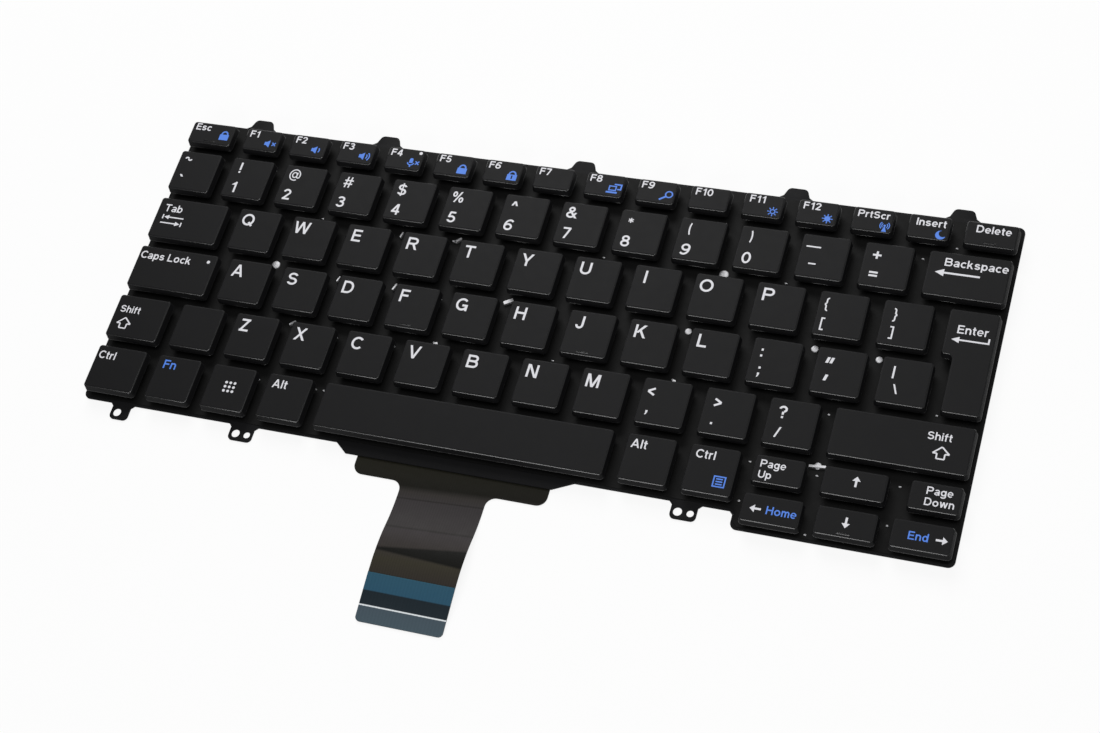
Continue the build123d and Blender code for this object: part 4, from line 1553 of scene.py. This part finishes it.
    def build(self, sliding: Sequence[str], fixed: Sequence[tuple[str, Box]]) -> None:
        """Builds one mechanism for each sliding key, and the rest as two pieces, for the low and the tall
        fixed keys.

        Args:
            sliding: Names of the sliding keys.
            fixed: Names and boxes of the fixed keys.
        """
        full = {
            "Frame": self.scissor("full_scissor", self.length, self.width, self.bar),
            "Dome": self.dome("full_dome", 2.9, 1.5),
        }
        small = {
            "Frame": self.scissor("small_scissor", self.small_length, self.small_width, self.small_bar),
            "Dome": self.dome("small_dome", 1.3, 0.8),
        }
        finishes = {"Frame": SCISSOR_ACETAL, "Dome": DOME_RUBBER}
        for name in sliding:
            shapes = small if name in self.small_names else full
            spots = self.spots(name, *box_mm(f"key_{name}"), math.pi / 2)
            piece = self.scatter.spread(f"mechanism_{name}", spots, shapes, finishes)
            keep(piece, "base", "scissor_plastic")
            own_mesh(piece)
        low_keys = [entry for entry in fixed if entry[1][1].y - entry[1][0].y < self.low_depth]
        tall_keys = [entry for entry in fixed if entry not in low_keys]
        groups = (("low", small, low_keys, 0.0), ("tall", full, tall_keys, math.pi / 2))
        for label, shapes, keys, turn in groups:
            spots = [spot for name, box in keys for spot in self.spots(name, *box, turn)]
            piece = self.scatter.spread(f"mechanism_{label}_fixed", spots, shapes, finishes)
            nodes = ("rubber_domes", "scissor_frames") if label == "tall" else ()
            keep(piece, "base", "scissor_plastic", *nodes)
        for shape in (*full.values(), *small.values()):
            bpy.data.objects.remove(shape)


@dataclass
class BaseSheet:
    """The plate, the membrane, the lamps, the wires and the bright steel between the keys.

    Attributes:
        edge: Radius of the plate's worn edges.
        rivets: X, Y and radius of the rivet heads that hold the membrane down.
        strips: Middle, length, width and turn in degrees of the bare hook edges that show beside the caps.
        strip_top: Height of those edges.
        glints: Places of the punched hook tips that show between the caps.
    """

    edge: float = 0.1
    rivets: tuple[Point3, ...] = (
        (-88.2, 3.4, 1.4), (50.4, 22.2, 1.5), (44.8, 1.8, 1.05), (82.1, 2.3, 1.1), (100.7, 1.9, 1.05),
        (91.1, -33.9, 1.1),
    )
    strips: tuple[tuple[float, float, float, float, float], ...] = (
        (-51.3, 20.0, 2.0, 0.45, 77), (-32.8, 20.9, 2.3, 0.75, 43), (-34.0, 20.3, 1.3, 0.5, -6),
        (-66.2, 1.5, 1.9, 0.4, 73), (-47.6, 1.7, 2.3, 0.5, 69), (-11.0, 2.5, 3.0, 1.1, 31),
        (-75.4, -15.8, 2.3, 0.6, 39), (-28.8, -15.3, 1.3, 0.9, 27), (44.9, -15.2, 1.0, 0.7, 27),
        (91.1, -34.3, 4.8, 0.7, 5),
    )
    strip_top: float = 1.5
    glints: tuple[Point, ...] = (
        (106.2, 36.7), (115.1, 41.6), (90.6, -17.7), (119.9, -12.8), (72.3, -36.0), (72.1, -48.3),
        (91.5, -36.9), (114.4, -36.0), (113.3, -48.1), (92.2, -54.9), (-60.6, -36.3), (-58.0, -36.2),
        (-79.4, -36.2), (-97.5, -17.7), (7.8, -14.5), (44.3, -14.5), (-29.6, -14.7), (-41.4, -18.1),
        (-60.1, -18.2), (-32.1, 0.0), (-17.0, 18.1), (-78.8, 22.0), (13.3, 22.3), (69.1, 22.2),
        (-44.8, 36.6), (-100.5, 37.0),
    )
    scatter: Scatter = field(default_factory=Scatter)

    def soften(self, node: str) -> Piece:
        """Copies a CAD node and rounds its edges a little.

        Args:
            node: The node's name.

        Returns:
            The new piece.
        """
        mesh = bmesh.new()
        mesh.from_mesh(bpy.data.objects[node].data)
        mesh.transform(Matrix.Scale(1 / MM, 4))
        bmesh.ops.remove_doubles(mesh, verts=mesh.verts, dist=0.001)
        bmesh.ops.dissolve_limit(mesh, angle_limit=math.radians(1), verts=mesh.verts, edges=mesh.edges)
        steep = math.radians(50)
        closed = [edge for edge in mesh.edges if len(edge.link_faces) == 2]
        sharp = [edge for edge in closed if edge.calc_face_angle(0) > steep]
        bmesh.ops.bevel(
            mesh, geom=sharp, offset=self.edge, segments=2, profile=0.5, affect="EDGES", clamp_overlap=True
        )
        bmesh.ops.triangulate(mesh, faces=[face for face in mesh.faces if len(face.verts) > 4])
        return to_object(f"soft_{node}", mesh, (PLATE_PAINT,), crease=30)

    def build(self, wires: Sequence[str]) -> None:
        """Builds and dresses the sheet.

        Args:
            wires: Names of the wire nodes.
        """
        keep(self.soften("support_plate"), "base", "plate_paint", "support_plate")
        dress("membrane_sheet", MEMBRANE_FILM)
        dress("indicator_leds", LAMP_EPOXY)
        for wire in wires:
            dress(wire, SPRING_WIRE)
        top = box_mm("membrane_sheet")[1].z
        head = bmesh.new()
        revolve(head, ((1.0, 0.0), (1.0, 0.1), (0.93, 0.2), (0.75, 0.26), (0.4, 0.29), (0.1, 0.3)), 24)
        rivet = to_object("rivet_head", head, (BARE_STEEL,), crease=60)
        tip = bmesh.new()
        tip_plan = rectangle(Vector((-0.4, -0.22)), Vector((0.4, 0.22)))
        steps = ((0.0, 0.0), (0.0, 0.2), (0.06, 0.26), (0.14, 0.28))
        skin(tip, [(lay_outline(tip_plan, inset, 0.15, 2), height) for inset, height in steps])
        hook = to_object("hook_tip", tip, (BARE_STEEL,), crease=60)
        spots = [Spot(Vector((x, y, top)), dome=True, size=radius) for x, y, radius in self.rivets]
        spots += [Spot(Vector((x, y, top))) for x, y in self.glints]
        shapes = {"Frame": hook, "Dome": rivet}
        bright = self.scatter.spread("bright_steel", spots, shapes, dict.fromkeys(shapes, BARE_STEEL))
        keep(bright, "base", "wire_steel")
        bpy.data.objects.remove(rivet)
        bpy.data.objects.remove(hook)
        edges = bmesh.new()
        for x, y, length, width, turn in self.strips:
            spin = Matrix.Rotation(math.radians(turn), 2)
            plan = rectangle(Vector((-length / 2, -width / 2)), Vector((length / 2, width / 2)))
            outline = [spin @ corner + Vector((x, y)) for corner in lay_outline(plan, 0, 0.15, 2)]
            skin(edges, [(outline, top), (outline, self.strip_top)])
        keep(to_object("hook_edges", edges, (BARE_STEEL,)), "base", "wire_steel")


def dress(node: str, finish: Finish) -> None:
    """Gives a CAD node its finish.

    Args:
        node: The node's name.
        finish: The finish.
    """
    shown = bpy.data.objects[node]
    if not shown.material_slots:
        shown.data.materials.append(None)
    for slot in shown.material_slots:
        slot.material = finish.material()
    LOG.info("%s is %s", node, finish.name)


@dataclass
class RibbonCable:
    """The flat cable: a wide root under the plate's flange, then a tail that rises and falls.

    Attributes:
        thickness: Thickness of the film.
        floor: Height of its underside where it lies flat.
        root_front: Y of the root's front edge.
        root_corner: Radius of the corners between root and tail.
        rear_corner: Radius of the root's rear corners.
        end_corner: Radius of the tail's end corners.
        flat: Length that lies flat in front of the root.
        rise_angle: Steepest angle of the rise in degrees.
        fall_angle: Angle of the straight end in degrees.
        end_run: Length of the straight end.
        tail_half: Half the tail's width.
        tail_x: X of the tail's middle line.
        step: Distance between two cuts across the curved part.
    """

    thickness: float = 0.24
    floor: float = 0.06
    root_front: float = -60.2
    root_corner: float = 3.0
    rear_corner: float = 0.3
    end_corner: float = 1.4
    flat: float = 4.4
    rise_angle: float = 14.0
    fall_angle: float = 8.0
    end_run: float = 14.4
    tail_half: float = 13.15
    tail_x: float = -11.8925
    step: float = 0.6

    def __post_init__(self) -> None:
        """Works out the arcs of the rise and the crest, and reads the outer edges from the frame."""
        rise, fall = math.radians(self.rise_angle), math.radians(self.fall_angle)
        self.radius = self.end_run * math.sin(fall) / (1 + math.cos(fall) - 2 * math.cos(rise))
        self.rise_start = self.root_front - self.flat
        self.crest_start = self.rise_start - self.radius * math.sin(rise)
        self.end_start = self.crest_start - self.radius * (math.sin(rise) + math.sin(fall))
        self.low, self.high = box_mm("ribbon_cable")

    def height(self, y: float) -> float:
        """Gives the height of the film's underside.

        Args:
            y: Place along the cable.

        Returns:
            The height in millimetres.
        """
        rise, fall = math.radians(self.rise_angle), math.radians(self.fall_angle)
        if y >= self.rise_start:
            return self.floor
        if y >= self.crest_start:
            return self.floor + self.radius - math.sqrt(self.radius ** 2 - (self.rise_start - y) ** 2)
        knee = self.floor + self.radius * (1 - math.cos(rise))
        if y >= self.end_start:
            lean = math.asin(math.sin(rise) - (self.crest_start - y) / self.radius)
            return knee + self.radius * (math.cos(lean) - math.cos(rise))
        crest = knee + self.radius * (math.cos(fall) - math.cos(rise))
        return crest - (self.end_start - y) * math.tan(fall)

    def plan(self) -> list[Vector]:
        """Draws the outline of the film in plan.

        Returns:
            Its points, anticlockwise.
        """
        left, right = self.tail_x - self.tail_half, self.tail_x + self.tail_half
        corners = [
            ((left, self.low.y), self.end_corner),
            ((right, self.low.y), self.end_corner),
            ((right, self.root_front), self.root_corner),
            ((self.high.x, self.root_front), self.root_corner),
            ((self.high.x, self.high.y), self.rear_corner),
            ((self.low.x, self.high.y), self.rear_corner),
            ((self.low.x, self.root_front), self.root_corner),
            ((left, self.root_front), self.root_corner),
        ]
        points = []
        for index, (corner, radius) in enumerate(corners):
            come = (Vector(corner) - Vector(corners[index - 1][0])).normalized()
            leave = (Vector(corners[(index + 1) % len(corners)][0]) - Vector(corner)).normalized()
            middle = Vector(corner) + (leave - come) * radius
            for step in range(9):
                angle = math.pi / 2 * step / 8
                points.append(middle - leave * radius * math.cos(angle) + come * radius * math.sin(angle))
        return points

    def build(self) -> None:
        """Builds the film as a fine sheet with thickness, and dresses the stiffener."""
        mesh = bmesh.new()
        mesh.faces.new([mesh.verts.new((point.x, point.y, 0)) for point in self.plan()])
        station = self.low.y + self.step
        while station < self.rise_start + 1:
            everything = [*mesh.verts, *mesh.edges, *mesh.faces]
            bmesh.ops.bisect_plane(
                mesh, geom=everything, plane_co=(0, station, 0), plane_no=(0, 1, 0), dist=1e-5
            )
            station += self.step
        for vertex in mesh.verts:
            vertex.co.z = self.height(vertex.co.y)
        top = bmesh.ops.extrude_face_region(mesh, geom=mesh.faces[:])
        for item in top["geom"]:
            if isinstance(item, bmesh.types.BMVert):
                item.co.z += self.thickness
        bmesh.ops.recalc_face_normals(mesh, faces=mesh.faces)
        for face in mesh.faces:
            face.smooth = True
        keep(to_object("ribbon_film", mesh, (RIBBON_FILM,)), "base", "ribbon_film", "ribbon_cable")
        dress("cable_stiffener", STIFFENER_FILM)


@dataclass
class Studio:
    """Floor, light and camera.

    Attributes:
        target: Point that the camera looks at, in millimetres.
        distance: Distance of the camera from it.
        azimuth: Angle of the camera round the object in degrees.
        elevation: Angle of the camera above the floor in degrees.
        roll: Turn of the picture in degrees.
        lens: Focal length in millimetres for a sensor 36 mm wide.
        ambient: Strength of the light from all round.
        fibre: Width of a patch of the paper floor in millimetres.
        glow: Share of plain white that the camera sees in the floor.
    """

    target: tuple[float, float, float] = (9.16, -18.83, 5.5)
    distance: float = 610.9
    azimuth: float = 35.013
    elevation: float = 58.354
    roll: float = -21.799
    lens: float = 69.21
    ambient: float = 0.12
    fibre: float = 40.0
    glow: float = 0.86

    def camera(self) -> None:
        """Sets the camera at the photograph's viewing angle."""
        around, above, turn = (math.radians(angle) for angle in (self.azimuth, self.elevation, self.roll))
        flat = math.cos(above)
        back = Vector((math.sin(around) * flat, -math.cos(around) * flat, math.sin(above)))
        right = Vector((0, 0, 1)).cross(back).normalized()
        upward = back.cross(right)
        across = math.cos(turn) * right + math.sin(turn) * upward
        tall = math.cos(turn) * upward - math.sin(turn) * right
        data = bpy.data.cameras.new("camera")
        data.sensor_width = 36.0
        data.lens = self.lens
        data.clip_start = 0.01
        made = bpy.data.objects.new("camera", data)
        bpy.context.scene.collection.objects.link(made)
        facing = Matrix((across, tall, back)).transposed().to_4x4()
        made.matrix_world = Matrix.Translation((Vector(self.target) + back * self.distance) * MM) @ facing
        bpy.context.scene.camera = made

    def seen(self, tree: Tree) -> Socket:
        """Tells rays that show the background from rays that carry light.

        Args:
            tree: The tree that asks.

        Returns:
            A socket that is 1 for rays of the camera, of gloss and of glass.
        """
        path = add_node(tree, "ShaderNodeLightPath").outputs
        first = maths(tree, "MAXIMUM", links={0: path["Is Camera Ray"], 1: path["Is Glossy Ray"]})
        return maths(tree, "MAXIMUM", links={0: first, 1: path["Is Transmission Ray"]})

    def floor(self) -> None:
        """Lays a plain white floor that keeps the object's shadow."""
        mesh = bmesh.new()
        bmesh.ops.create_grid(mesh, x_segments=1, y_segments=1, size=4.0)
        data = bpy.data.meshes.new("floor")
        mesh.to_mesh(data)
        mesh.free()
        made = bpy.data.objects.new("floor", data)
        made.location.z = -0.0001
        bpy.context.scene.collection.objects.link(made)
        paper = bpy.data.materials.new("Matt white paper floor")
        paper.use_nodes = True
        tree = paper.node_tree
        tree.nodes.clear()
        place = add_node(tree, "ShaderNodeTexCoord").outputs["Object"]
        shade = add_node(
            tree,
            "ShaderNodeMix",
            settings={"data_type": "RGBA"},
            values={6: srgb("#f6f6f6"), 7: srgb("#f2f2f2")},
            links={0: noise(tree, self.fibre, 3.0, place)},
        )
        matt = add_node(tree, "ShaderNodeBsdfDiffuse", links={"Color": shade.outputs[2]})
        glow = add_node(tree, "ShaderNodeEmission", values={"Strength": 1.0})
        share = maths(tree, "MULTIPLY", {1: self.glow}, {0: self.seen(tree)})
        both = add_node(tree, "ShaderNodeMixShader", links={0: share, 1: matt.outputs[0], 2: glow.outputs[0]})
        add_node(tree, "ShaderNodeOutputMaterial", links={"Surface": both.outputs[0]})
        data.materials.append(paper)

    def world(self) -> None:
        """Sets an even, weak light all round."""
        world = bpy.data.worlds.new("studio")
        world.use_nodes = True
        tree = world.node_tree
        tree.nodes.clear()
        values = {"Color": srgb("#ffffff"), "Strength": self.ambient}
        sky = add_node(tree, "ShaderNodeBackground", values=values)
        add_node(tree, "ShaderNodeOutputWorld", links={"Surface": sky.outputs[0]})
        bpy.context.scene.world = world

    def lamp(self, name: str, place: Point3, size: Point, power: float) -> None:
        """Hangs a soft lamp that faces the object.

        Args:
            name: The lamp's name.
            place: Its place in metres.
            size: Its width and height in metres.
            power: Power in watts.
        """
        data = bpy.data.lights.new(name, "AREA")
        data.shape = "RECTANGLE"
        data.size, data.size_y = size
        data.energy = power
        made = bpy.data.objects.new(name, data)
        made.location = place
        made.rotation_euler = (-Vector(place)).to_track_quat("-Z", "Y").to_euler()
        bpy.context.scene.collection.objects.link(made)

    def build(self) -> None:
        """Builds the whole studio."""
        bpy.context.scene.view_settings.view_transform = "Standard"
        self.camera()
        self.floor()
        self.world()
        self.lamp("rear_lamp", (-0.35, 0.87, 0.83), (0.7, 0.7), 10.0)
        self.lamp("fill_lamp", (0.35, -0.1, 1.15), (0.7, 0.7), 6.0)
        self.lamp("front_strip", (-0.14, -1.0, 0.52), (0.8, 0.3), 3.4)


def main() -> None:
    """Builds the keyboard's pieces in order."""
    logging.basicConfig(level=logging.INFO, format="%(name)s: %(message)s")
    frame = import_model()
    nodes = list(frame["nodes"])
    sliding = [node.removeprefix("key_") for node in nodes if node.startswith("key_")]
    Studio().build()
    keys = KeyBlock()
    keys.build(sliding)
    Mechanism().build(sliding, list(zip(keys.fixed_names, keys.fixed_boxes())))
    BaseSheet().build([node for node in nodes if node.endswith("_wire")])
    RibbonCable().build()
    bpy.context.view_layer.update()


if __name__ == "__main__":
    main()
